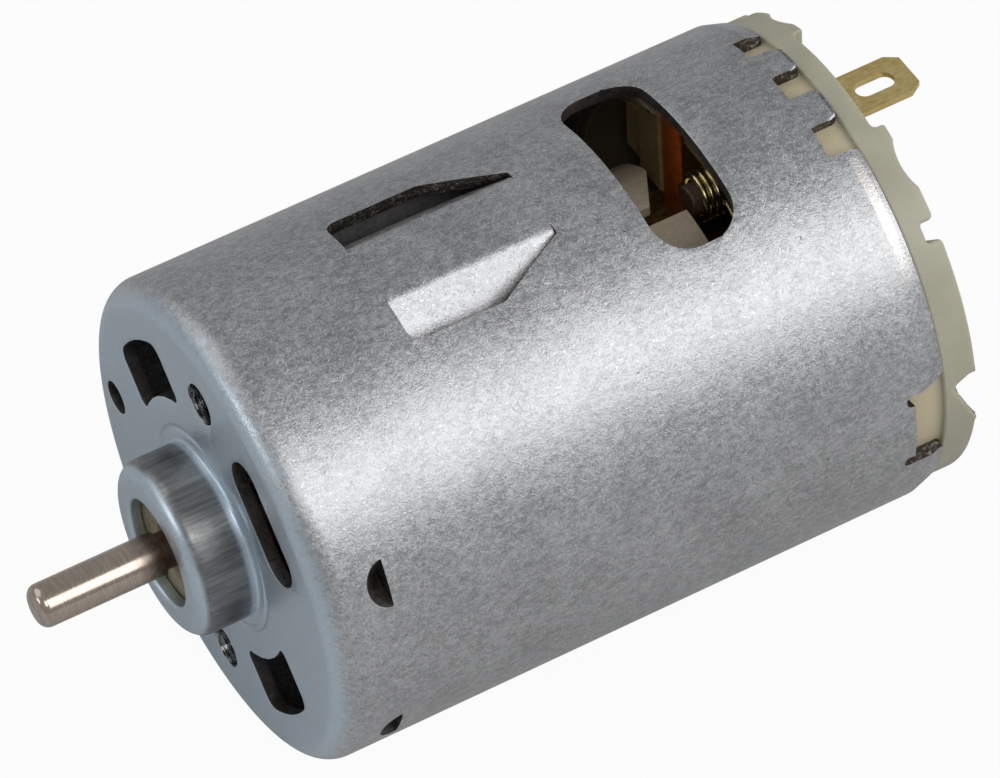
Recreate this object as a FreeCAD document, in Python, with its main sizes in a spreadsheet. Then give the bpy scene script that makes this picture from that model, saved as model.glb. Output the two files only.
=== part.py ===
import FreeCAD, Part
import math
import os
import re
import Sketcher
from FreeCAD import Placement, Rotation, Vector

# A small brushed direct-current motor. Millimetres. The origin is the centre of the front
# mounting face, the shaft runs along Y and leaves the motor towards -Y, and +Z goes up
# through the can's window, between the two magnets. Angles about the shaft are in
# degrees from +X towards +Z.

SIZES = {
    # Drawn steel can
    "can_radius": 17.9,
    "can_wall": 1.0,
    "can_length": 47.8,
    "can_corner": 1.9,
    "boss_radius": 6.5,
    "boss_height": 4.4,
    "boss_wall": 1.0,
    "boss_hole_radius": 4.0,
    "boss_edge": 0.9,
    "screw_circle_radius": 12.5,
    "screw_hole_radius": 1.5,
    "screw_collar_wall": 0.7,
    "screw_collar_depth": 1.0,
    "locating_hole_radius": 1.23,
    "locating_hole_offset": 14.15,
    "vent_half_width": 4.05,
    "vent_inner": 9.8,
    "vent_outer": 13.9,
    "vent_corner": 0.8,
    "slot_middle": 11.4,
    "slot_length": 9.1,
    "slot_width": 4.2,
    "slot_corner": 1.9,
    "window_half_width": 8.1,
    "window_start": 31.8,
    "window_length": 6.15,
    "window_corner": 2.5,
    # Lances that stop the magnets turning, and stakes that stop them sliding forward
    "lance_hinge": 2.49,
    "lance_width": 3.72,
    "lance_start": 13.2,
    "lance_straight": 7.1,
    "lance_slant": 5.6,
    "lance_tip_width": 0.71,
    "lance_tilt": 28,
    "lance_kerf": 0.08,
    "stake_radius": 1.9,
    "stake_depth": 1.9,
    "stake_skin": 0.85,
    "stake_angle": 24,
    # Teeth and notches of the open rim
    "rim_gap_angle": 3.85,
    "rim_tooth_angle": 12.8,
    "rim_notch_angle": 21,
    "rim_notch_depth": 2.3,
    "side_notch_angle": 8.5,
    "side_notch_depth": 2.6,
    "relief_angle": 11.5,
    "relief_depth": 3.4,
    "rim_bevel_length": 1.2,
    "rim_bevel_depth": 0.35,
    # Magnets
    "magnet_start": 5.2,
    "magnet_length": 25.8,
    "magnet_angle": 130,
    # Shaft and bearings
    "shaft_radius": 1.5875,
    "shaft_reach": 13.8,
    "shaft_rear": 50.6,
    "shaft_nose": 0.7,
    "shaft_groove_width": 0.9,
    "shaft_groove_depth": 0.25,
    "running_gap": 0.03,
    "seat_gap": 0.02,
    "bush_length": 3.6,
    "felt_thickness": 0.7,
    "felt_inner": 2.4,
    "retainer_thickness": 0.4,
    "retainer_radius": 7.4,
    "bush_chamfer": 0.4,
    # Rotor
    "end_play": 0.2,
    "washer_radius": 2.9,
    "washer_thickness": 0.3,
    "spacer_radius": 2.6,
    "core_radius": 11.5,
    "air_gap": 0.5,
    "core_start": 7.5,
    "core_length": 22.5,
    "core_hub": 3.1,
    "pole_width": 5.0,
    "pole_tip": 2.1,
    "pole_angle": 104,
    "pole_turn_angle": 30,
    "former_wall": 0.8,
    "former_step": 0.2,
    "former_flange": 0.9,
    "former_angle": 112,
    "former_front_reach": 3.6,
    "former_rear_reach": 7.4,
    "coil_gap": 0.15,
    "coil_root": 3.3,
    "coil_waist": 5.0,
    "coil_root_half": 5.2,
    "coil_waist_half": 7.2,
    "coil_front_turn": 2.6,
    "coil_rear_turn": 5.0,
    "coil_round": 1.2,
    # Commutator
    "hub_start": 36.4,
    "hub_length": 7.1,
    "bar_start": 38.2,
    "bar_length": 5.2,
    "bar_radius": 4.5,
    "bar_thickness": 1.1,
    "bar_angle": 116,
    "hook_radius": 6.2,
    "hook_width": 1.8,
    "hook_thickness": 0.7,
    # Brushes, holders and springs
    "brush_middle": 41.2,
    "brush_width": 4.0,
    "brush_height": 3.0,
    "brush_end": 11.0,
    "brush_gap": 0.05,
    "holder_gap": 0.1,
    "holder_wall": 0.5,
    "holder_start": 5.6,
    "holder_length": 4.0,
    "post_drop": 3.0,
    "post_radius": 1.15,
    "post_start": 37.8,
    "wire_radius": 0.3,
    "spring_turns": 4,
    "spring_gap": 0.08,
    "arm_shoulder_out": 1.3,
    "arm_shoulder_height": 4.5,
    "arm_tip_drop": 1.2,
    # Moulded end bell
    "bell_rim_radius": 17.3,
    "bell_rim_length": 1.7,
    "bell_rim_gap": 0.1,
    "bell_rib": 0.9,
    "bell_rib_inner": 14.0,
    "bell_floor_gap": 0.05,
    "skirt_start": 38.3,
    "skirt_wall": 1.25,
    "boss_rear_radius": 5.0,
    "boss_rear_end": 52.3,
    "boss_rear_hole": 2.4,
    "rear_bush_radius": 3.5,
    "rear_bush_length": 4.4,
    "rear_recess_radius": 4.9,
    "rear_recess_depth": 2.25,
    "bell_gap_angle": 18,
    "bell_notch_middle": 45,
    "bell_notch_half": 2,
    "bell_notch_depth": 1.1,
    "bell_side_angle": 6.3,
    "bell_side_depth": 1.8,
    "bell_vent_radius": 10.2,
    "bell_vent_length": 6.0,
    "bell_vent_width": 4.4,
    # Terminals
    "blade_inset": 3.9,
    "blade_half_width": 2.1,
    "blade_thickness": 0.5,
    "blade_end": 55.8,
    "blade_tip_out": 0.75,
    "blade_tip_back": 0.95,
    "eye_middle": 53.0,
    "eye_length": 3.0,
    "eye_width": 1.45,
    "eye_corner": 0.7,
    "blade_slot_gap": 0.05,
    "strip_start": 40.1,
    "strip_end": 43.6,
    "strip_gap": 0.4,
    "foot_length": 2.1,
}

doc = FreeCAD.newDocument("Motor")
sheet = doc.addObject("Spreadsheet::Sheet", "Sizes")
for row, (alias, number) in enumerate(SIZES.items(), start=1):
    sheet.set(f"A{row}", alias)
    sheet.set(f"B{row}", str(number))
    sheet.setAlias(f"B{row}", alias)
doc.recompute()
probe = doc.addObject("App::FeaturePython", "Probe")

# Places that several pieces share
INNER = "(can_radius - can_wall)"
CORE_END = "(core_start + core_length)"
FORMER = "(core_radius - former_step)"
RIM = "can_length"
HUB_END = "(hub_start + hub_length)"
HOLDER_REAR = "(brush_middle + brush_width / 2 + holder_gap + holder_wall)"
BELL_FLOOR = f"({HOLDER_REAR} + bell_floor_gap)"
RECESS_END = f"({BELL_FLOOR} + rear_recess_depth)"
FRONT_BUSH_START = "(boss_wall - boss_height)"
FRONT_BUSH_END = f"({FRONT_BUSH_START} + bush_length)"
FRONT_STOP = "(can_wall + seat_gap + retainer_thickness)"
REAR_BUSH_START = f"({RECESS_END} + felt_thickness)"
PIN_BORE = "(shaft_radius + running_gap)"
SPRING_START = "(post_start + wire_radius)"
SPRING_LENGTH = "(2 * wire_radius * spring_turns)"
ARM_PLACE = f"({SPRING_START} + {SPRING_LENGTH} - wire_radius)"
BLADE = "(can_radius - blade_inset)"
POST = f"({BLADE} - post_drop)"
SKIRT_INNER = f"({INNER} - seat_gap - skirt_wall)"
LEG = f"sqrt(({SKIRT_INNER} - strip_gap) ^ 2 - ({BLADE} + blade_thickness / 2) ^ 2)"
UP = 90

WORD = re.compile(r"[a-z][a-z_]*")


def link(formula):
    """Point the size names in a formula at the sheet."""
    return WORD.sub(lambda word: "Sizes." + word[0] if word[0] in SIZES else word[0], formula)


def value(formula):
    """The number that a formula gives with the sheet's sizes."""
    return float(probe.evalExpression(link(formula)))


def bind(item, **formulas):
    """Tie properties of an object to formulas; a double underscore stands for a dot."""
    for name, formula in formulas.items():
        item.setExpression(name.replace("__", "."), link(formula))


def about_shaft(degrees):
    """A turn about the shaft, from +X towards +Z."""
    return Placement(Vector(), Rotation(Vector(0, -1, 0), degrees))


# Bodies built from sketches

def new_body(label):
    body = doc.addObject("PartDesign::Body", "Body")
    body.Label = label
    return body


def origin_of(body, role):
    return next(item for item in body.Origin.OriginFeatures if item.Role == role)


def outline(body, plane, *loops, offset="0", turn=0):
    """A sketch of closed straight-sided loops, every corner a pair of formulas."""
    sketch = body.newObject("Sketcher::SketchObject", "Outline")
    sketch.AttachmentSupport = (origin_of(body, plane), [""])
    sketch.MapMode = "FlatFace"
    sketch.AttachmentOffset = Placement(Vector(), Rotation(Vector(0, 1, 0), -turn))
    bind(sketch, AttachmentOffset__Base__z=offset)
    for loop in loops:
        spots = [Vector(value(across), value(along), 0) for across, along in loop]
        first = sketch.GeometryCount
        for spot, following in zip(spots, spots[1:] + spots[:1]):
            sketch.addGeometry(Part.LineSegment(spot, following))
        for step, corner in enumerate(loop):
            after = first + (step + 1) % len(loop)
            sketch.addConstraint(Sketcher.Constraint("Coincident", first + step, 2, after, 1))
            for direction, formula in zip(("DistanceX", "DistanceY"), corner):
                rule = Sketcher.Constraint(direction, -1, 1, first + step, 1, value(formula))
                number = sketch.addConstraint(rule)
                sketch.setExpression(f"Constraints[{number}]", link(formula))
    return sketch


def rectangle(low_x, high_x, low_y, high_y):
    return [(low_x, low_y), (high_x, low_y), (high_x, high_y), (low_x, high_y)]


def turned(body, points, span="360", turn=0, cut=False):
    """Revolve a profile of (radius, place along the shaft) corners about the shaft."""
    sketch = outline(body, "XY_Plane", points, turn=turn)
    kind = "PartDesign::Groove" if cut else "PartDesign::Revolution"
    feature = body.newObject(kind, "Turned")
    feature.Profile = sketch
    feature.ReferenceAxis = (sketch, ["V_Axis"])
    feature.Midplane = True
    bind(feature, Angle=span)
    sketch.Visibility = False
    return feature


def raised(body, plane, length, *loops, offset="0", reverse=False):
    """Pad loops by a length, along the plane's normal or against it."""
    feature = body.newObject("PartDesign::Pad", "Raised")
    feature.Profile = outline(body, plane, *loops, offset=offset)
    feature.Reversed = reverse
    bind(feature, Length=length)
    return feature


def sunk(body, plane, length, *loops, offset="0", reverse=False):
    """Pocket loops by a length, and make sure that the pocket cut something."""
    doc.recompute()
    before = body.Shape.Volume
    feature = body.newObject("PartDesign::Pocket", "Sunk")
    feature.Profile = outline(body, plane, *loops, offset=offset)
    feature.Reversed = reverse
    bind(feature, Length=length)
    doc.recompute()
    if body.Shape.Volume >= before:
        raise ValueError(f"a pocket of {body.Label} cuts nothing")
    return feature


def edges_where(shape, test):
    return [f"Edge{place}" for place, edge in enumerate(shape.Edges, start=1) if test(edge)]


def rounded(body, radius, test):
    """Fillet the edges of a body's last feature that pass a test."""
    doc.recompute()
    base = body.Tip
    feature = body.newObject("PartDesign::Fillet", "Rounded")
    feature.Base = (base, edges_where(base.Shape, test))
    bind(feature, Radius=radius)
    return feature


def hoop(radius, place):
    """A test for the full circle of a radius about the shaft, at a place along it."""
    wanted_radius, wanted_place = value(radius), value(place)

    def test(edge):
        if not isinstance(edge.Curve, Part.Circle):
            return False
        centre = edge.Curve.Center
        on_axis = math.hypot(centre.x, centre.z) < 1e-6
        same_radius = abs(edge.Curve.Radius - wanted_radius) < 1e-6
        return on_axis and same_radius and abs(centre.y - wanted_place) < 1e-6

    return test


def along(direction):
    """A test for straight edges in a direction."""
    def test(edge):
        if not isinstance(edge.Curve, (Part.Line, Part.LineSegment)):
            return False
        return abs(abs(edge.tangentAt(edge.FirstParameter).dot(direction)) - 1) < 1e-6

    return test


def washer(label, inner, outer, start, length, chamfer=None):
    """A plain ring about the shaft, with an optional chamfer on its outer corners."""
    body = new_body(label)
    end = f"({start} + {length})"
    if chamfer is None:
        turned(body, rectangle(inner, outer, start, end))
        return body
    turned(body, [
        (inner, start), (f"{outer} - {chamfer}", start), (outer, f"{start} + {chamfer}"),
        (outer, f"{end} - {chamfer}"), (f"{outer} - {chamfer}", end), (inner, end),
    ])
    return body


def wedge(inner, outer, start, end):
    """Four corners between two radii and two angles, for a cut along the shaft."""
    return [
        (f"{radius} * cos({angle})", f"{radius} * sin({angle})")
        for radius, angle in ((inner, start), (outer, start), (outer, end), (inner, end))
    ]


# Primitives and booleans

def block(name, size_x, size_y, size_z, corner=None, direction=None):
    """A box centred on the origin, with the edges along one direction rounded."""
    box = doc.addObject("Part::Box", name)
    bind(box, Length=size_x, Width=size_y, Height=size_z)
    corner_place = Vector(value(size_x), value(size_y), value(size_z)) * -0.5
    box.Placement = Placement(corner_place, Rotation())
    if corner is None:
        return box
    doc.recompute()
    radius = value(corner)
    fillet = doc.addObject("Part::Fillet", name + "Rounded")
    fillet.Base = box
    numbers = [int(edge[4:]) for edge in edges_where(box.Shape, along(direction))]
    fillet.Edges = [(number, radius, radius) for number in numbers]
    return fillet


def rod(name, radius, length):
    """A cylinder along +Y from its own origin."""
    cylinder = doc.addObject("Part::Cylinder", name)
    bind(cylinder, Radius=radius, Height=length)
    cylinder.Placement = Placement(Vector(), Rotation(Vector(1, 0, 0), -90))
    return cylinder


def moved(item, x="0", y="0", z="0", turn=0):
    """Shift an object, then turn it about the shaft."""
    shift = Placement(Vector(value(x), value(y), value(z)), Rotation())
    item.Placement = about_shaft(turn) * shift * item.Placement
    return item


def joined(name, pieces):
    fuse = doc.addObject("Part::MultiFuse", name)
    fuse.Shapes = pieces
    return fuse


def cut_from(name, base, tools):
    cut = doc.addObject("Part::Cut", name)
    cut.Base = base
    cut.Tool = tools[0] if len(tools) == 1 else joined(name + "Tools", tools)
    return cut


def mirrored(name, source, normal):
    mirror = doc.addObject("Part::Mirroring", name)
    mirror.Source = source
    mirror.Normal = normal
    return mirror


# The can

def can_shell():
    """The drawn cup with its boss, before anything is pierced."""
    body = new_body("can_shell")
    boss_inner = "boss_radius - boss_wall"
    turned(body, [
        ("boss_hole_radius", "-boss_height"), ("boss_radius", "-boss_height"), ("boss_radius", "0"),
        ("can_radius", "0"), ("can_radius", RIM), (INNER, RIM), (INNER, "can_wall"),
        (boss_inner, "can_wall"), (boss_inner, FRONT_BUSH_START),
        ("boss_hole_radius", FRONT_BUSH_START),
    ])
    rounded(body, "can_corner", hoop("can_radius", "0"))
    rounded(body, "can_corner - can_wall", hoop(INNER, "can_wall"))
    rounded(body, "boss_edge", hoop("boss_radius", "-boss_height"))
    rounded(body, "boss_edge", hoop("boss_radius", "0"))
    for turn in (0, 180):
        cut_rim(body, turn)
    return body


def cut_rim(body, turn):
    """The notches of the rim about one end of the Z axis and one end of the X axis."""
    inner, outer = f"({INNER} - can_wall)", "(can_radius + can_wall)"
    cuts = [
        (UP, "-rim_gap_angle", "rim_gap_angle", "rim_notch_depth"),
        (UP, "rim_tooth_angle", "rim_notch_angle", "rim_notch_depth"),
        (UP, "-rim_notch_angle", "-rim_tooth_angle", "rim_notch_depth"),
        (0, "-side_notch_angle", "side_notch_angle", "side_notch_depth"),
        (0, "side_notch_angle", "relief_angle", "relief_depth"),
        (0, "-relief_angle", "-side_notch_angle", "relief_depth"),
    ]
    for middle, start, end, depth in cuts:
        place = middle + turn
        corners = wedge(inner, outer, f"{place} + {start}", f"{place} + {end}")
        sunk(body, "XZ_Plane", depth, corners, offset=f"{depth} - {RIM}")
    for side in (1, -1):
        middle = (value("relief_angle") + UP - value("rim_notch_angle")) / 2
        turned(
            body,
            [("can_radius - rim_bevel_depth", RIM), ("can_radius + can_wall", RIM),
             ("can_radius + can_wall", f"{RIM} - rim_bevel_length"),
             ("can_radius", f"{RIM} - rim_bevel_length")],
            span=f"{UP} - rim_notch_angle - relief_angle", turn=turn + side * middle, cut=True,
        )


def lance_prism(kerf):
    """The outline of one lance as a tall prism through the top of the can."""
    body = new_body("lance_outline")
    near, far = f"lance_hinge + {kerf}", f"lance_hinge + lance_width - {kerf}"
    start = f"lance_start + {kerf}"
    straight = "lance_start + lance_straight"
    tip = f"{straight} + lance_slant - {kerf}"
    raised(body, "XY_Plane", "can_radius + can_wall", [
        (near, start), (far, start), (far, straight),
        (f"lance_hinge + lance_tip_width", tip), (near, tip),
    ])
    return body


def lance_flaps():
    """The four tongues of the can's wall, bent inwards about their hinge lines."""
    tube = new_body("lance_stock")
    turned(tube, rectangle(INNER, "can_radius", "lance_start - can_wall", "window_start"))
    flap = doc.addObject("Part::MultiCommon", "Flap")
    flap.Shapes = [tube, lance_prism("lance_kerf")]
    hinge = Vector(value("lance_hinge"), 0, value("sqrt(can_radius ^ 2 - lance_hinge ^ 2)"))
    tilt = Rotation(Vector(0, 1, 0), value("lance_tilt"))
    flap.Placement = Placement(hinge - tilt.multVec(hinge), tilt)
    pair = joined("FlapPair", [flap, mirrored("FlapMirror", flap, Vector(1, 0, 0))])
    return [pair, mirrored("FlapPairBelow", pair, Vector(0, 0, 1))]


def lance_openings():
    prism = lance_prism("0")
    pair = joined("LancePair", [prism, mirrored("LanceMirror", prism, Vector(1, 0, 0))])
    return [pair, mirrored("LancePairBelow", pair, Vector(0, 0, 1))]


def stake_cone(name, angle, depth_shift):
    """Half of a cone that points at the shaft, its flat side facing the magnets."""
    overrun = "can_wall / 2"
    cone = doc.addObject("Part::Cone", name)
    bind(cone, Radius1=f"stake_radius + {overrun}", Height=f"stake_depth + {overrun}")
    cone.Radius2 = 0
    cone.Angle = 180
    radians = math.radians(angle)
    outward = Vector(math.cos(radians), 0, math.sin(radians))
    forward = Vector(0, -1, 0)
    start = outward * value(f"can_radius + {overrun} - {depth_shift}")
    start.y = value("magnet_start - can_wall / 5")
    cone.Placement = Placement(start, Rotation(forward.cross(-outward), forward, -outward))
    return cone


def motor_can():
    deep = "2 * can_wall + boss_height"
    wide = "2 * can_radius + 2 * can_wall"
    forward = Vector(0, 1, 0)
    window = block("Window", "2 * window_half_width", "window_length", wide,
                   "window_corner", Vector(0, 0, 1))
    moved(window, y="window_start + window_length / 2")
    pierced = [window] + lance_openings()
    for turn in (45, 225):
        slot = block("Slot", "slot_width", deep, "slot_length", "slot_corner", forward)
        pierced.append(moved(slot, x="slot_middle", turn=turn))
    for turn in (135, 315):
        bar = block("VentBar", "can_radius", deep, "2 * vent_half_width")
        moved(bar, x="can_radius / 2", turn=turn)
        ring = cut_from("VentRing", moved(rod("VentOuter", "vent_outer", deep), y=f"-({deep}) / 2"),
                        [moved(rod("VentInner", "vent_inner", deep), y=f"-({deep}) / 2")])
        vent = doc.addObject("Part::MultiCommon", "Vent")
        vent.Shapes = [ring, bar]
        doc.recompute()
        corner = value("vent_corner")
        vent_rounded = doc.addObject("Part::Fillet", "VentRounded")
        vent_rounded.Base = vent
        numbers = [int(edge[4:]) for edge in edges_where(vent.Shape, along(forward))]
        vent_rounded.Edges = [(number, corner, corner) for number in numbers]
        pierced.append(vent_rounded)
    pierced_can = cut_from("PiercedCan", can_shell(), pierced)

    angles = ["stake_angle", "-stake_angle", "180 - stake_angle", "180 + stake_angle"]
    bulges = [stake_cone("Bulge", value(angle), "stake_skin") for angle in angles]
    dents = [stake_cone("Dent", value(angle), "0") for angle in angles]
    collars, holes = [], []
    for turn in (UP, -UP):
        collar = rod("Collar", "screw_hole_radius + screw_collar_wall",
                     "can_wall / 2 + screw_collar_depth")
        collars.append(moved(collar, x="screw_circle_radius", y="can_wall / 2", turn=turn))
        hole = rod("ScrewHole", "screw_hole_radius", deep)
        holes.append(moved(hole, x="screw_circle_radius", y="-can_wall", turn=turn))
    hole = rod("LocatingHole", "locating_hole_radius", "4 * can_wall")
    holes.append(moved(hole, x="-locating_hole_offset", y="-can_wall"))
    whole = joined("StakedCan", [pierced_can] + lance_flaps() + bulges + collars)
    can = cut_from("Can", whole, dents + holes)
    can.Label = "motor_can"
    return can


def magnet(label, turn):
    body = new_body(label)
    turned(body, rectangle("core_radius + air_gap", f"{INNER} - seat_gap", "magnet_start",
                           "magnet_start + magnet_length"), span="magnet_angle")
    body.Placement = about_shaft(turn)
    return body


# Bearings

def bearings():
    """Front and rear sintered bushes, each with its oil felt and the plate that holds it."""
    rear_end = f"{REAR_BUSH_START} + seat_gap"
    return [
        washer("front_bearing", PIN_BORE, "(boss_radius - boss_wall - seat_gap)",
               f"({FRONT_BUSH_START} + seat_gap)", "bush_length", "bush_chamfer"),
        washer("front_bearing_felt", "felt_inner", "(boss_radius - boss_wall - seat_gap)",
               f"({FRONT_BUSH_END} + 2 * seat_gap)", "felt_thickness"),
        washer("front_bearing_retainer", "felt_inner", "retainer_radius",
               "(can_wall + seat_gap)", "retainer_thickness"),
        washer("rear_bearing", PIN_BORE, "(rear_bush_radius - seat_gap)", f"({rear_end})",
               "rear_bush_length", "bush_chamfer"),
        washer("rear_bearing_felt", "felt_inner", "(rear_bush_radius - seat_gap)", RECESS_END,
               "felt_thickness"),
        washer("rear_bearing_retainer", "felt_inner", "(rear_recess_radius - seat_gap)",
               f"({RECESS_END} - seat_gap - retainer_thickness)", "retainer_thickness"),
    ]


# Rotor

def shaft():
    """The ground shaft, with an oil groove just inside the mouth of the boss."""
    body = new_body("shaft")
    groove = f"({FRONT_BUSH_START} - shaft_groove_width)"
    floor = "shaft_radius - shaft_groove_depth"
    turned(body, [
        ("0", "-shaft_reach"), ("shaft_radius - shaft_nose", "-shaft_reach"),
        ("shaft_radius", "shaft_nose - shaft_reach"), ("shaft_radius", groove),
        (floor, groove), (floor, FRONT_BUSH_START), ("shaft_radius", FRONT_BUSH_START),
        ("shaft_radius", "shaft_rear - can_wall / 2"),
        ("shaft_radius - can_wall / 2", "shaft_rear"), ("0", "shaft_rear"),
    ])
    return body


def poles(body, start, end, hub, width, tip_inner, tip_outer, span):
    """A hub with three poles, each a stem that carries an arc at its outer end."""
    turned(body, rectangle("shaft_radius + seat_gap", hub, start, end))
    half = f"({width}) / 2"
    middle = "(shaft_radius + core_hub) / 2"
    stem = raised(body, "YZ_Plane", f"({tip_inner} + {tip_outer}) / 2 - {middle}",
                  rectangle(start, end, f"-{half}", half), offset=middle)
    tip = turned(body, rectangle(tip_inner, tip_outer, start, end), span=span)
    doc.recompute()
    pattern = body.newObject("PartDesign::PolarPattern", "Poles")
    pattern.Originals = [stem, tip]
    pattern.Axis = (origin_of(body, "Y_Axis"), [""])
    pattern.Angle = 360
    pattern.Occurrences = 3
    body.Tip = pattern
    body.Placement = about_shaft(value("pole_turn_angle"))
    return body


def rotor_core():
    return poles(new_body("rotor_core"), "core_start", CORE_END, "core_hub", "pole_width",
                 "core_radius - pole_tip", "core_radius", "pole_angle")


def core_insulator(label, plate_start, plate_end, flange_start, flange_end):
    """A moulded former: a plate over the core's end, and a flange that holds each coil."""
    body = new_body(label)
    poles(body, plate_start, plate_end, "core_hub", "pole_width",
          f"{FORMER} - former_flange", FORMER, "pole_angle")
    turned(body, rectangle(f"{FORMER} - former_flange", FORMER,
                           flange_start, flange_end), span="former_angle")
    flange = body.Tip
    doc.recompute()
    pattern = body.newObject("PartDesign::PolarPattern", "Flanges")
    pattern.Originals = [flange]
    pattern.Axis = (origin_of(body, "Y_Axis"), [""])
    pattern.Angle = 360
    pattern.Occurrences = 3
    body.Tip = pattern
    return body


def coil(label, turn):
    """One winding: a rounded bundle about its pole, open where the pole passes through."""
    body = new_body(label)
    inside = "(pole_width / 2 + coil_gap)"
    reach = "(core_radius - pole_tip - 2 * coil_gap)"
    outer = f"sqrt({reach} ^ 2 - {inside} ^ 2)"
    hull = [
        ("coil_root", "-coil_root_half"), ("coil_waist", "-coil_waist_half"), (outer, f"-{inside}"),
        (outer, inside), ("coil_waist", "coil_waist_half"), ("coil_root", "coil_root_half"),
    ]
    start = "(core_start - former_wall - coil_front_turn)"
    end = f"({CORE_END} + former_wall + coil_rear_turn)"
    raised(body, "XZ_Plane", f"{end} - {start}", hull, offset=f"-{start}", reverse=True)
    last_y = (value(start), value(end))

    def end_corner(edge):
        """The long edges at the two ends that cross the pole."""
        spot = edge.CenterOfMass
        at_end = any(abs(spot.y - place) < 1e-6 for place in last_y)
        return at_end and abs(spot.z) > value(inside)

    rounded(body, "coil_round", end_corner)
    sunk(body, "YZ_Plane", "core_radius",
         rectangle(f"core_start - former_wall - coil_gap", f"{CORE_END} + former_wall + coil_gap",
                   f"-{inside}", inside), reverse=True)
    body.Placement = about_shaft(turn)
    return body


def commutator_hub():
    body = new_body("commutator_hub")
    seat = "bar_radius - bar_thickness - seat_gap"
    shoulder = "bar_start - hook_thickness - seat_gap"
    turned(body, [
        ("shaft_radius + seat_gap", "hub_start"), ("bar_radius", "hub_start"),
        ("bar_radius", shoulder), (seat, shoulder), (seat, HUB_END),
        ("shaft_radius + seat_gap", HUB_END),
    ])
    return body


def commutator_bar(label, turn):
    """One copper bar with the hook that its coil's wire is welded under."""
    body = new_body(label)
    inner = "bar_radius - bar_thickness"
    turned(body, rectangle(inner, "bar_radius", "bar_start - hook_thickness",
                           "bar_start + bar_length"), span="bar_angle")
    raised(body, "YZ_Plane", f"hook_radius - {inner}",
           rectangle("bar_start - hook_thickness", "bar_start", "-hook_width / 2",
                     "hook_width / 2"), offset=inner)
    body.Placement = about_shaft(turn)
    return body


def rotor_stack():
    """The spacers and thrust washers that set the rotor's place between the bearings."""
    bore = "(shaft_radius + seat_gap)"
    front = f"({FRONT_STOP} + end_play)"
    spacer_start = f"({front} + washer_thickness + seat_gap)"
    spacer_end = "(core_start - former_wall - seat_gap)"
    rear = f"({HUB_END} + seat_gap)"
    rear_stop = f"({RECESS_END} - seat_gap - retainer_thickness - end_play)"
    rear_washer = f"({rear_stop} - washer_thickness)"
    return [
        washer("thrust_washer_front", bore, "washer_radius", front, "washer_thickness"),
        washer("spacer_front", bore, "spacer_radius", spacer_start,
               f"{spacer_end} - {spacer_start}"),
        washer("spacer_middle", bore, "spacer_radius",
               f"({CORE_END} + former_wall + seat_gap)",
               f"hub_start - {CORE_END} - former_wall - 2 * seat_gap"),
        washer("spacer_rear", bore, "spacer_radius", rear, f"{rear_washer} - seat_gap - {rear}"),
        washer("thrust_washer_rear", bore, "washer_radius", rear_washer, "washer_thickness"),
    ]


# Brush gear; the pieces of the other side are the same, turned half a turn about the shaft

def brush(label, turn):
    body = new_body(label)
    half = "brush_height / 2"
    start = "(brush_middle - brush_width / 2)"
    raised(body, "XZ_Plane", "brush_width",
           rectangle("bar_radius / 2", "brush_end", f"-{half}", half),
           offset=f"-{start}", reverse=True)
    turned(body, rectangle("0", "bar_radius + brush_gap", f"{start} - can_wall",
                           f"{start} + brush_width + can_wall"), cut=True)
    body.Placement = about_shaft(turn)
    return body


def brush_holder(label, turn):
    body = new_body(label)
    half_y = "(brush_width / 2 + holder_gap)"
    half_z = "(brush_height / 2 + holder_gap)"
    raised(body, "YZ_Plane", "holder_length",
           rectangle(f"brush_middle - {half_y} - holder_wall",
                     f"brush_middle + {half_y} + holder_wall",
                     f"-{half_z} - holder_wall", f"{half_z} + holder_wall"),
           rectangle(f"brush_middle - {half_y}", f"brush_middle + {half_y}",
                     f"-{half_z}", half_z),
           offset="holder_start")
    body.Placement = about_shaft(turn)
    return body


def wire(name, start, end):
    """A straight length of spring wire between two (x, z) places, round at both ends."""
    place = value(ARM_PLACE)
    begin = Vector(value(start[0]), place, value(start[1]))
    finish = Vector(value(end[0]), place, value(end[1]))
    cylinder = doc.addObject("Part::Cylinder", name)
    bind(cylinder, Radius="wire_radius")
    cylinder.Height = (finish - begin).Length
    cylinder.Placement = Placement(begin, Rotation(Vector(0, 0, 1), finish - begin))
    ball = doc.addObject("Part::Sphere", name + "Bend")
    bind(ball, Radius="wire_radius")
    ball.Placement = Placement(finish, Rotation())
    return [cylinder, ball]


def brush_spring(label, turn):
    """A torsion spring on its post, with the arm that presses the brush."""
    inner = "(post_radius + spring_gap)"
    tube = new_body(label + "_coil")
    turned(tube, rectangle(inner, f"{inner} + 2 * wire_radius", "0", SPRING_LENGTH))
    moved(tube, y=SPRING_START, z=POST)
    middle = f"({inner} + wire_radius)"
    shoulder = ("brush_end + wire_radius + arm_shoulder_out", "arm_shoulder_height")
    touch = ("brush_end + wire_radius + brush_gap", "-arm_tip_drop")
    spring = joined(label, [tube]
                    + wire("Arm", (middle, POST), shoulder)
                    + wire("ArmTip", shoulder, touch))
    spring.Label = label
    spring.Placement = about_shaft(turn)
    return spring


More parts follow.
